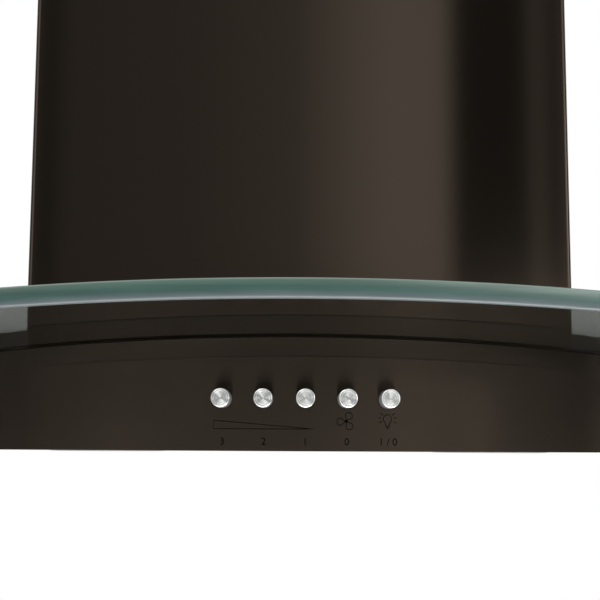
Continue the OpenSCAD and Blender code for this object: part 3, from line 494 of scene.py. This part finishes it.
def ground_edge(thickness):
    """The green edge, paler towards both arrises as painted highlight, with streaks along it."""
    s = Shader("canopy_edge", roughness=0.2, ior=1.5, specular=0.36)
    # painted highlight: the paler stops at both ends stand in for light caught along the arrises
    green = s.ramp(s.sum("DIVIDE", above_arch(s), thickness), [
        (0.0, (0.13, 0.16, 0.165)), (0.14, (0.125, 0.155, 0.16)), (0.27, (0.07, 0.11, 0.11)),
        (0.42, (0.026, 0.078, 0.064)), (0.62, (0.03, 0.084, 0.067)), (0.85, (0.066, 0.122, 0.098)),
        (1.0, (0.115, 0.165, 0.14))])
    streaks = s.spread(s.noise((22, 22, 300), 3.0), 0.3, 0.7, 0.78, 1.22)
    s.set("Base Color", (s.node("ShaderNodeVectorMath", {0: green, 3: streaks}, operation="SCALE"), 0))
    return s.material


class HOOD_OT_canopy(bpy.types.Operator):
    """Glass canopy with ground edges"""
    bl_idname = "hood.canopy"
    bl_label = "Glass canopy"

    def execute(self, context):
        p = props("canopy")
        mesh = glass_mesh(p)
        # painted highlight: the arrises' pale grey colours stand in for light from below on the lower one and
        # along the rim on the upper one
        low = Shader("canopy_low_arris", color=(0.15, 0.175, 0.18), roughness=0.3, ior=1.5)
        top = Shader("canopy_top_arris", color=(0.15, 0.21, 0.18), roughness=0.25, ior=1.5)
        for material in (clear_glass(), ground_edge(p.thickness), low.material, top.material):
            mesh.materials.append(material)
        glass = link(bpy.data.objects.new("glass_canopy_fine", mesh))
        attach(glass, "hood")
        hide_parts("glass_canopy")
        return {"FINISHED"}


def face_r(high):
    """Radius of the front panel at a height above its bottom edge."""
    b = props("body")
    return b.panel_r - (b.body_h - high) * math.tan(b.lean)


def on_face(x, high):
    """The frame of the panel's face at a place, whose Z points level and outwards."""
    b = props("body")
    r = face_r(high)
    return (Matrix.Translation((0, b.panel_r - b.body_d, high - b.fixing_h))
            @ Matrix.Rotation(math.asin(x / r), 4, "Z")
            @ Matrix.Translation((0, -r, 0))
            @ Matrix.Rotation(math.pi / 2, 4, "X"))


def lathe(profile, segments):
    """(radius, height) pairs turned about Z: vertices, faces, and the turn and row of each corner."""
    verts, rows, faces, corners = [], [], [], []
    for r, z in profile:
        count = segments if r else 1
        rows.append([len(verts) + k for k in range(count)])
        verts += [(r * math.cos(math.tau * k / segments), r * math.sin(math.tau * k / segments), z)
                  for k in range(count)]
    for i in range(len(profile) - 1):
        for k in range(segments):
            ring = [(i, k), (i, k + 1), (i + 1, k + 1), (i + 1, k)]
            for at, row in ((3, i + 1), (1, i)):
                if len(rows[row]) == 1:
                    ring.pop(at)
            faces.append(tuple(rows[row][turn % len(rows[row])] for row, turn in ring))
            corners.append([(turn / segments, row / (len(profile) - 1)) for row, turn in ring])
    return verts, faces, corners


def button_profile(p):
    """Radius, height and finish of what follows: turned, bright (a lighter copy of the metal, partly painted
    highlight), satin or dark (black plastic that is partly painted shade in the gap round the button).
    """
    r, out = p.radius, p.out
    level = out - 0.00012
    inner = 0.7 * r
    collar_r, collar_low, stem_r = r + 0.0012, -p.back - 0.001, 0.0025
    profile = [(0, level - 0.0003, 0), (0.0003, level - 0.00025, 0)]
    first = 0.0006
    count = p.grooves * 4
    for i in range(count + 1):
        a = first + (inner - first) / count * i
        groove = 0.00003 if i % 4 == 2 else 0
        profile.append((a, level - 0.00014 * (a / inner) ** 2 - groove, 0))
    profile[-1] = (inner, profile[-1][1], 1)
    return profile + [
        (inner + 0.00012, level - 0.0002, 1), (inner + 0.00034, out, 0), (r - 0.00035, out, 1),
        (r - 0.0001, out - 0.00012, 1), (r, out - 0.0004, 2), (r, -p.back, 3), (collar_r, -p.back, 3),
        (collar_r, collar_low, 3), (stem_r, collar_low, 3), (stem_r, -p.stem, 3), (0, -p.stem, 3)]


class HOOD_OT_buttons(bpy.types.Operator):
    """Five turned push buttons"""
    bl_idname = "hood.buttons"
    bl_label = "Buttons"

    def execute(self, context):
        p = props("buttons")
        turned = Shader("turned_metal", color=(0.4, 0.4, 0.392), metallic=1.0, roughness=0.42,
                        anisotropic=1.0)
        around = turned.node("ShaderNodeTangent", direction_type="UV_MAP", uv_map="turn")
        turned.set("Tangent", (around, "Tangent"))
        # the turning marks run round, so the shine spreads from the middle
        turned.set("Anisotropic Rotation", 0.25)
        # polished rings: their lighter colour than the turned face is painted highlight
        bright = Shader("bright_bevel", color=(0.66, 0.66, 0.65), metallic=1.0, roughness=0.3)
        satin = Shader("satin_flank", color=(0.36, 0.36, 0.36), metallic=0.5, roughness=0.6)
        # the collar and stem are black plastic, and their black also makes the dark ring in the gap round
        # each button: painted shade
        dark = Shader("dark_collar", color=(0.01, 0.01, 0.01), roughness=0.8, specular=0.1)
        profile = button_profile(p)
        segments = 72
        verts, faces, corners = lathe([q[:2] for q in profile], segments)
        for i, name in enumerate(BUTTONS):
            place = on_face(p.row_x + (i - (len(BUTTONS) - 1) / 2) * p.pitch, p.height)
            obj = mesh_object(name + "_turned", [place @ Vector(v) for v in verts], [f[::-1] for f in faces])
            mesh = obj.data
            uv = mesh.uv_layers.new(name="turn")
            for polygon, corner in zip(mesh.polygons, corners):
                for loop, place_in in zip(polygon.loop_indices, reversed(corner)):
                    uv.data[loop].uv = place_in
                polygon.material_index = profile[polygon.index // segments][2]
            mesh.shade_smooth()
            mesh.set_sharp_from_angle(angle=math.radians(25))
            for shader in (turned, bright, satin, dark):
                mesh.materials.append(shader.material)
            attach(obj, name)
            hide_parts(name)
        return {"FINISHED"}


def print_point(x, high, out=0.00006):
    """A point just off the face of the panel."""
    b = props("body")
    r = face_r(high)
    a = math.asin(x / r)
    n = Vector((math.sin(a) * math.cos(b.lean), -math.cos(a) * math.cos(b.lean), -math.sin(b.lean)))
    return Vector((x, b.panel_r - b.body_d - r * math.cos(a), high - b.fixing_h)) + n * out


def ribbon(points, width, closed):
    """A flat stroke along points (sideways, up), as vertices and faces."""
    pts = [Vector(q) for q in points]
    n = len(pts)
    verts, faces = [], []
    for i, q in enumerate(pts):
        before = pts[i - 1] if closed or i else q
        after = pts[(i + 1) % n] if closed or i < n - 1 else q
        along = (after - before).normalized()
        side = Vector((-along.y, along.x)) * width / 2
        verts += [q + side, q - side]
    for i in range(n if closed else n - 1):
        j = (i + 1) % n
        faces.append((2 * i, 2 * i + 1, 2 * j + 1, 2 * j))
    return verts, faces


def arc(cx, cy, rx, ry, start, end, n):
    return [(cx + rx * math.cos(math.radians(start + (end - start) * i / n)),
             cy + ry * math.sin(math.radians(start + (end - start) * i / n))) for i in range(n + 1)]


def smooth_loop(points, steps=4):
    """A closed curve through the points."""
    n = len(points)
    made = []
    for i in range(n):
        a, b, c, d = (Vector(points[(i + k - 1) % n]) for k in range(4))
        for s in range(steps):
            t = s / steps
            made.append(0.5 * ((2 * b) + (c - a) * t + (2 * a - 5 * b + 4 * c - d) * t * t
                               + (3 * b - a - 3 * c + d) * t ** 3))
    return [tuple(q) for q in made]


def outward(obj, direction):
    """Turns every face of a flat piece to one side."""
    bm = bmesh.new()
    bm.from_mesh(obj.data)
    for f in bm.faces:
        f.normal_update()
        if f.normal.dot(direction) < 0:
            f.normal_flip()
    bm.to_mesh(obj.data)
    bm.free()


def glyph(text, x, y, height):
    """Flat outline figures in the built-in face, as vertices and faces."""
    curve = bpy.data.curves.new("figure", "FONT")
    curve.body = text
    curve.align_x = "CENTER"
    # the face's figures are this part of its size high
    figure_part = 0.7
    curve.size = height / figure_part
    curve.resolution_u = 6
    holder = link(bpy.data.objects.new("figure", curve))
    mesh = baked(holder)
    verts = [Vector((v.co.x + x, v.co.y + y)) for v in mesh.vertices]
    faces = [tuple(q.vertices) for q in mesh.polygons]
    bpy.data.objects.remove(holder)
    bpy.data.curves.remove(curve)
    bpy.data.meshes.remove(mesh)
    return verts, faces


class HOOD_OT_marks(bpy.types.Operator):
    """Printed marks under the buttons: figures, a wedge, a fan and a lamp"""
    bl_idname = "hood.marks"
    bl_label = "Printed marks"

    def execute(self, context):
        p = props("buttons")
        line = 0.00034
        shapes = []

        def stroke(points, closed=False):
            shapes.append(ribbon(points, line, closed))

        first = p.row_x - 2 * p.pitch
        # wedge from the strongest speed to the weakest
        left, tip = first - 0.0042, first + 0.0462
        top, low = 0.0152, 0.0110
        slope = [(left + (tip - left) * t / 12, top + (low - top) * t / 12) for t in range(13)]
        base = [(tip + (left - tip) * t / 12, low) for t in range(1, 13)]
        stroke(slope + base, True)
        # fan with three rounded blades
        fx, fy = p.row_x + p.pitch - 0.0003, 0.0150
        blade = [(0.0, 0.0), (0.0006, 0.0011), (0.0017, 0.0019), (0.0021, 0.0032), (0.0012, 0.0044),
                 (-0.0004, 0.0046), (-0.0014, 0.0036), (-0.0012, 0.0022), (-0.0004, 0.0011)]
        for k in range(3):
            c, s = math.cos(math.radians(100 + 120 * k)), math.sin(math.radians(100 + 120 * k))
            stroke(smooth_loop([(fx + u * c - v * s, fy + u * s + v * c) for u, v in blade]), True)
        stroke(arc(fx, fy, 0.0006, 0.0006, 0, 345, 14), True)
        # lamp with its rays
        lx, ly = p.row_x + 2 * p.pitch - 0.0003, 0.0162
        stroke(arc(lx, ly, 0.0021, 0.0022, -62, 242, 26) + [(lx - 0.0010, ly - 0.0032)])
        stroke([(lx + 0.0010, ly - 0.0019), (lx + 0.0010, ly - 0.0032)])
        for half, drop in ((0.0010, 0.0034), (0.0010, 0.0041), (0.0004, 0.0047)):
            stroke([(lx - half, ly - drop), (lx + half, ly - drop)])
        for a in (-24, 8, 38, 142, 172, 204):
            c, s = math.cos(math.radians(a)), math.sin(math.radians(a))
            stroke([(lx + 0.0031 * c, ly + 0.0031 * s), (lx + 0.0047 * c, ly + 0.0047 * s)])
        for k, text in enumerate(("3", "2", "1", "0", "1 / 0")):
            shapes.append(glyph(text, first + k * p.pitch, 0.0031, 0.0036))
        verts, faces = [], []
        for v, f in shapes:
            faces += [tuple(i + len(verts) for i in q) for q in f]
            verts += [print_point(q[0], q[1]) for q in v]
        ink = Shader("printed_ink", color=(0.003, 0.0028, 0.0026), roughness=1.0, specular=0.0)
        obj = mesh_object("printed_marks", verts, faces, ink.material)
        outward(obj, Vector((0, -1, 0)))
        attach(obj, "hood")
        return {"FINISHED"}


def turned_solids(name):
    """Axis, top of the head, length, and radii of head and shank of each screw in a node."""
    bm = bmesh.new()
    bm.from_mesh(cad(name).data)
    bmesh.ops.remove_doubles(bm, verts=bm.verts, dist=1e-6)
    # dictionaries keep their order, so each run numbers the screws alike
    left = dict.fromkeys(bm.verts)
    found = []
    while left:
        island = [left.popitem()[0]]
        for v in island:
            for other in (e.other_vert(v) for e in v.link_edges):
                if other in left:
                    del left[other]
                    island.append(other)
        points = [v.co.copy() for v in island]
        # the axis is the way that most of the area looks
        areas = {}
        for f in dict.fromkeys(f for v in island for f in v.link_faces):
            way = tuple(round(c, 2) for c in f.normal)
            areas[way] = areas.get(way, 0) + f.calc_area()
        axis = Vector(max(areas, key=areas.get)).normalized()
        along = [q.dot(axis) for q in points]
        centre = sum(points, Vector()) / len(points)

        def spread(a, b):
            return max(((q - centre) - axis * (q - centre).dot(axis)).length
                       for q, t in zip(points, along) if a - 1e-5 <= t <= b + 1e-5)

        first, last = min(along), max(along)
        if spread(first, first) > spread(last, last):
            axis, first, last = -axis, -last, -first
            along = [-t for t in along]
        found.append({"axis": axis, "top": centre + axis * (last - centre.dot(axis)), "length": last - first,
                      "head": spread(first, last), "shank": spread(first, first)})
    bm.free()
    return found


def screw_tree():
    """Pan head screws with a cross recess, set on points."""
    t = Tree("pan_head_screws", head_radius="Float", head_height="Float", shank_radius="Float",
             length="Float", recess_width="Float", recess_depth="Float", seed="Int", material="Material")
    radius, height, thin, length, width, depth, seed = t.given(
        "head_radius", "head_height", "shank_radius", "length", "recess_width", "recess_depth", "seed")
    half = t.sum("MULTIPLY", height, 0.5)
    rest = t.sum("SUBTRACT", length, height)
    crown = t.sum("MULTIPLY", radius, 0.6)
    rim_top = t.sum("MULTIPLY", half, -1.0)
    shank_top = t.sum("MULTIPLY", height, -1.0)
    whole = t.node("GeometryNodeMeshBoolean", operation="UNION", solver="EXACT")
    for kind, above, top, sizes in (
            ("Cylinder", 0.5, rim_top, {"Vertices": 28, "Radius": radius, "Depth": half}),
            ("Cone", 1.0, 0.0, {"Vertices": 28, "Radius Top": crown, "Radius Bottom": radius, "Depth": half}),
            ("Cylinder", 0.5, shank_top, {"Vertices": 20, "Radius": thin, "Depth": rest})):
        part = t.node("GeometryNodeMesh" + kind, sizes), "Mesh"
        # below the origin first and then below its own top, so that the parts meet without rounding
        for level in (t.sum("MULTIPLY", sizes["Depth"], -above), top):
            moved = t.node("GeometryNodeTransform", {"Geometry": part, "Translation": t.vector(z=level)})
            part = moved, "Geometry"
        t.feed(whole, "Mesh 2", part)
    reach = t.sum("MULTIPLY", radius, 1.1)
    deep = t.sum("MULTIPLY", depth, 2.0)
    cut = t.node("GeometryNodeMeshBoolean", {"Mesh 1": (whole, "Mesh")}, operation="DIFFERENCE",
                 solver="EXACT")
    for size in (t.vector(reach, width, deep), t.vector(width, reach, deep)):
        t.feed(cut, "Mesh 2", (t.node("GeometryNodeMeshCube", {"Size": size}), "Mesh"))
    axis = t.node("GeometryNodeInputNamedAttribute", {"Name": "axis"}, data_type="FLOAT_VECTOR"), "Attribute"
    point = t.node("FunctionNodeAlignRotationToVector", {"Vector": axis}, axis="Z"), "Rotation"
    turn = t.node("FunctionNodeRandomValue", {2: 0.0, 3: math.tau, "Seed": seed}, data_type="FLOAT"), 1
    spin = t.node("FunctionNodeAxisAngleToRotation", {"Axis": (0, 0, 1), "Angle": turn}), "Rotation"
    both = t.node("FunctionNodeRotateRotation", {"Rotation": point, "Rotate By": spin},
                  rotation_space="LOCAL"), "Rotation"
    points = t.source, "Geometry"
    placed = t.node("GeometryNodeInstanceOnPoints", {"Points": points, "Instance": (cut, "Mesh"),
                                                     "Rotation": both})
    t.finish((placed, "Instances"))
    return t


class HOOD_OT_screws(bpy.types.Operator):
    """Screws with cross recesses in place of the plain ones"""
    bl_idname = "hood.screws"
    bl_label = "Screws"

    def execute(self, context):
        tree = screw_tree()
        for name, body in SCREWS.items():
            material = cad(name).data.materials[0]
            solids = turned_solids(name)
            base = bpy.data.meshes.new(name + "_points")
            base.from_pydata([tuple(q["top"]) for q in solids], [], [])
            way = base.attributes.new("axis", "FLOAT_VECTOR", "POINT")
            for i, q in enumerate(solids):
                way.data[i].vector = q["axis"]
            q = solids[0]
            just_inside = 0.999
            height = 0.6 * q["head"]
            obj = tree.make(name + "_fine", base, head_radius=q["head"] * just_inside, head_height=height,
                            shank_radius=q["shank"] * just_inside, length=q["length"],
                            recess_width=q["head"] * 0.22, recess_depth=height * 0.45, seed=7,
                            material=material)
            obj.data.shade_smooth()
            obj.data.set_sharp_from_angle(angle=math.radians(30))
            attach(obj, body)
            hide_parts(name)
        return {"FINISHED"}


def mesh_tree():
    """Pleated layer of expanded metal, made of rings that share no strand."""
    t = Tree("expanded_mesh", width="Float", depth="Float", pleat="Float", rise="Float", half_width="Float",
             half_height="Float", strand="Float", thickness="Float", level="Float", material="Material")
    width, depth, pleat, rise, half_width, half_height, strand, thickness, level = t.given(
        "width", "depth", "pleat", "rise", "half_width", "half_height", "strand", "thickness", "level")
    wide = t.sum("MULTIPLY", half_width, 2.0)
    high = t.sum("MULTIPLY", half_height, 2.0)
    across = t.sum("ROUND", t.sum("DIVIDE", width, wide))
    rows = t.sum("FLOOR", t.sum("DIVIDE", depth, high))
    grid = t.node("GeometryNodeMeshGrid", {
        "Size X": t.sum("MULTIPLY", wide, t.sum("SUBTRACT", across, 1.0)), "Vertices X": across,
        "Size Y": t.sum("MULTIPLY", high, t.sum("SUBTRACT", rows, 1.0)), "Vertices Y": rows})
    ring = t.node("GeometryNodeCurvePrimitiveQuadrilateral", {
        "Width": t.sum("SUBTRACT", wide, strand), "Bottom Height": half_height, "Top Height": half_height},
        mode="KITE")
    flat = t.node("GeometryNodeCurvePrimitiveQuadrilateral", {"Width": strand, "Height": thickness},
                  mode="RECTANGLE")
    band = t.node("GeometryNodeCurveToMesh", {"Curve": (ring, "Curve"), "Profile Curve": (flat, "Curve")})
    placed = t.node("GeometryNodeInstanceOnPoints", {"Points": (grid, "Mesh"), "Instance": (band, "Mesh")})
    real = t.node("GeometryNodeRealizeInstances", {"Geometry": (placed, "Instances")}), "Geometry"
    x, _, _ = t.split((t.node("GeometryNodeInputPosition"), "Position"))
    wave = t.sum("PINGPONG", t.sum("ADD", x, t.sum("MULTIPLY", width, 0.5)), pleat)
    lift = t.sum("MULTIPLY", t.sum("DIVIDE", wave, pleat), rise)
    offset = t.vector(z=t.sum("ADD", lift, level))
    t.finish((t.node("GeometryNodeSetPosition", {"Geometry": real, "Offset": offset}), "Geometry"))
    return t


class HOOD_OT_filters(bpy.types.Operator):
    """Layers of pleated expanded metal in both grease filters"""
    bl_idname = "hood.filters"
    bl_label = "Filter mesh"

    def execute(self, context):
        p = props("filters")
        tree = mesh_tree()
        for side in ("left", "right"):
            node = "filter_mesh_" + side
            material = cad(node).data.materials[0]
            low, high = (Vector(c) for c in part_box(node))
            size = high - low
            count = max(1, int(size.x / p.pleat))
            pleat = size.x / count
            # a layer of fine cells, and one of wider cells above it
            layers = []
            for i, (part, half_high) in enumerate(((4, p.half_height), (2, p.half_height * 1.35))):
                layers.append(tree.make(
                    f"{node}_{i}", bpy.data.meshes.new("empty"), width=size.x, depth=size.y, pleat=pleat,
                    rise=size.z - 3 * p.thickness, half_width=pleat / part, half_height=half_high,
                    strand=p.strand, thickness=p.thickness, level=p.thickness * (0.5 + 1.2 * i),
                    material=material))
            bm = bmesh.new()
            for layer in layers:
                bm.from_mesh(layer.data)
            bmesh.ops.translate(bm, verts=bm.verts, vec=((low.x + high.x) / 2, (low.y + high.y) / 2, low.z))
            mesh = bpy.data.meshes.new(node + "_fine")
            bm.to_mesh(mesh)
            bm.free()
            mesh.materials.append(material)
            for layer in layers:
                bpy.data.objects.remove(layer)
            obj = link(bpy.data.objects.new(node + "_fine", mesh))
            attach(obj, "filter_" + side)
            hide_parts(node)
        return {"FINISHED"}


def upright(x0, x1, y, z0, z1):
    """Corners of an upright rectangle along X."""
    return [(x0, y, z0), (x1, y, z0), (x1, y, z1), (x0, y, z1)]


def lying(x0, x1, y0, y1, z):
    """Corners of a level rectangle."""
    return [(x0, y0, z), (x1, y0, z), (x1, y1, z), (x0, y1, z)]


def card(name, corners, across, up, strength):
    """A lit card that only reflections see, with light levels along its X and its Z."""
    obj = mesh_object(name, corners, [(0, 1, 2, 3)])
    material = bpy.data.materials.new(name)
    material.use_nodes = True
    s = Nodes(material.node_tree)
    s.tree.nodes.clear()
    x, _, z = s.split(s.local())
    levels = []
    for place, stops in ((x, across), (z, up)):
        first, last = stops[0][0], stops[-1][0]
        greys = [((at - first) / (last - first), (level, level, level)) for at, level in stops]
        levels.append(s.ramp(s.spread(place, first, last), greys))
    emit = s.node("ShaderNodeEmission", {"Color": s.sum("MULTIPLY", *levels), "Strength": strength})
    s.node("ShaderNodeOutputMaterial", {"Surface": (emit, "Emission")})
    obj.data.materials.append(material)
    for ray in ("camera", "shadow", "diffuse", "transmission"):
        setattr(obj, "visible_" + ray, False)


def cards():
    """What the steel, the buttons and the glass edge mirror."""
    # the duct cover: brighter to the right, then a dark flag
    card("cover_card", upright(-1.3, 1.05, -3, 0.05, 1.6),
         [(-1.3, 0.7), (-0.79, 0.5), (-0.77, 0.12), (-0.73, 0.12), (-0.68, 0.27), (-0.3, 0.32), (0.0, 0.45),
          (0.17, 0.8), (0.28, 1.0), (0.42, 1.0), (0.45, 0.7), (0.49, 0.11), (0.68, 0.1), (0.70, 0.42),
          (0.745, 0.36), (0.76, 0.12), (0.785, 0.12), (0.80, 0.5), (1.05, 0.5)],
         [(0.05, 1), (1.6, 1)], 3.3)
    for name, side in (("left_card", -1), ("right_card", 1)):
        near, far = side * 3.2, side * 1.31
        card(name, [(near, -1.8, 0.06), (far, -3, 0.06), (far, -3, 1.6), (near, -1.8, 1.6)],
             [(-3.2, 1), (3.2, 1)], [(0.06, 1), (1.6, 1)], 4.2)
    # the front panel, brighter towards the floor, and its lip above
    card("panel_card", upright(-2.6, 2.6, -3, -3.2, -0.3),
         [(-2.6, 0.31), (-0.9, 0.32), (0.2, 0.35), (0.6, 0.56), (1.0, 0.51), (1.2, 0.2), (1.5, 0.09),
          (2.6, 0.24)],
         [(-3.2, 1), (-1.9, 1), (-1.45, 0.5), (-1.1, 0.3), (-0.9, 0.12), (-0.7, 0.04), (-0.3, 0.03)], 11.4)
    card("lip_card", upright(-2.6, 2.6, -3.1, -0.29, 0.04),
         [(-2.6, 0.55), (0.5, 0.62), (0.9, 0.85), (1.2, 1.2), (2.6, 1.2)],
         [(-0.29, 1), (-0.18, 1), (-0.15, 0.15), (0.04, 0.15)], 5.4)
    # the turned faces, from below
    card("low_card", lying(-0.8, 0.8, -1.5, -0.7, -1.09),
         [(-0.8, 1), (0.2, 1), (0.4, 1.4), (0.6, 1.9), (0.8, 1.9)], [(-1.1, 1), (-1.0, 1)], 6.0)
    # the glass edge: a soft box at the right
    card("edge_card", upright(-0.9, 0.9, -1.2, -0.11, -0.045),
         [(-0.9, 0.05), (-0.03, 0.04), (0.1, 0.1), (0.2, 0.26), (0.3, 0.54), (0.4, 0.64), (0.47, 0.86),
          (0.52, 1.05), (0.56, 1.1), (0.58, 0.05), (0.9, 0.05)], [(-0.11, 1), (-0.045, 1)], 13.0)


def light_world(scene, ambient):
    """White to the camera, in reflections and through glass, and a plain level for the rest."""
    world = scene.world or bpy.data.worlds.new("studio")
    scene.world = world
    world.use_nodes = True
    s = Nodes(world.node_tree)
    s.tree.nodes.clear()
    path = s.node("ShaderNodeLightPath")
    seen = path, "Is Camera Ray"
    for ray in ("Is Glossy Ray", "Is Transmission Ray"):
        seen = s.sum("MAXIMUM", seen, (path, ray))
    rest, white = (s.node("ShaderNodeBackground", {"Color": (1, 1, 1, 1), "Strength": level})
                   for level in (ambient, 1.0))
    mix = s.node("ShaderNodeMixShader", {"Fac": seen, 1: (rest, "Background"), 2: (white, "Background")})
    s.node("ShaderNodeOutputWorld", {"Surface": (mix, "Shader")})


def lamps():
    """Soft light from the upper left front, and a smaller one from the right for the glass edge."""
    for name, place, aim, size, power, mirrored in (
            ("key", (-1.2, -2.2, 1.5), (0, -0.3, -0.1), 1.6, 26, False),
            ("rim", (1.9, -1.5, 0.2), (0.2, -0.45, -0.15), 0.8, 14, True)):
        light = bpy.data.lights.new(name, "AREA")
        light.energy = power
        light.size = size
        lamp = link(bpy.data.objects.new(name, light))
        lamp.location = place
        lamp.rotation_euler = (Vector(aim) - Vector(place)).to_track_quat("-Z", "Y").to_euler()
        lamp.visible_camera = False
        lamp.visible_glossy = mirrored


def camera_at(p):
    """The camera that the hood is seen by."""
    data = bpy.data.cameras.new("camera")
    data.sensor_width = 36.0
    data.lens = p.lens
    data.clip_start = 0.02
    camera = link(bpy.data.objects.new("camera", data))
    cp, sp = math.cos(p.pitch), math.sin(p.pitch)
    ahead = Vector((math.sin(p.yaw) * cp, math.cos(p.yaw) * cp, sp))
    right = Vector((math.cos(p.yaw), -math.sin(p.yaw), 0))
    up = right.cross(ahead)
    cr, sr = math.cos(p.roll), math.sin(p.roll)
    right, up = cr * right + sr * up, -sr * right + cr * up
    turn = Matrix((right, up, -ahead)).transposed()
    camera.matrix_world = Matrix.Translation(p.place) @ turn.to_4x4()
    return camera


class HOOD_OT_studio(bpy.types.Operator):
    """Camera, floor, background and lights"""
    bl_idname = "hood.studio"
    bl_label = "Studio"

    def execute(self, context):
        p = props("studio")
        light_world(context.scene, p.ambient)
        half = 1.5
        floor = mesh_object("floor", lying(-half, half, -half, half, p.floor_z), [(0, 1, 2, 3)],
                            plain("pale_floor", (0.85, 0.85, 0.84), 0.8, specular=0.0))
        cards()
        lamps()
        context.scene.camera = camera_at(p)
        context.scene.view_settings.view_transform = "Standard"
        return {"FINISHED"}


class HOOD_PT_panel(bpy.types.Panel):
    """Sidebar panel with one button for each group of pieces"""
    bl_label = "Range hood"
    bl_idname = "HOOD_PT_panel"
    bl_space_type = "VIEW_3D"
    bl_region_type = "UI"
    bl_category = "Hood"

    def draw(self, context):
        for step in STEPS:
            self.layout.operator(step.bl_idname)
        for group in GROUPS:
            box = self.layout.box()
            box.label(text=group.title())
            values = props(group)
            for name in values.__annotations__:
                box.prop(values, name)


GROUPS = {"body": BodyProps, "canopy": CanopyProps, "buttons": ButtonProps, "filters": FilterProps,
          "studio": StudioProps}
STEPS = (HOOD_OT_finishes, HOOD_OT_canopy, HOOD_OT_buttons, HOOD_OT_marks, HOOD_OT_screws, HOOD_OT_filters,
         HOOD_OT_studio)


def register():
    for cls in (*GROUPS.values(), *STEPS, HOOD_PT_panel):
        bpy.utils.register_class(cls)
    for name, cls in GROUPS.items():
        setattr(bpy.types.Scene, "hood_" + name, PointerProperty(type=cls))


def unregister():
    for name in GROUPS:
        delattr(bpy.types.Scene, "hood_" + name)
    for cls in reversed((*GROUPS.values(), *STEPS, HOOD_PT_panel)):
        bpy.utils.unregister_class(cls)


def main():
    """Takes every step on the frame."""
    register()
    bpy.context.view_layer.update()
    for step in STEPS:
        group, name = step.bl_idname.split(".")
        getattr(getattr(bpy.ops, group), name)()


if __name__ == "__main__":
    main()
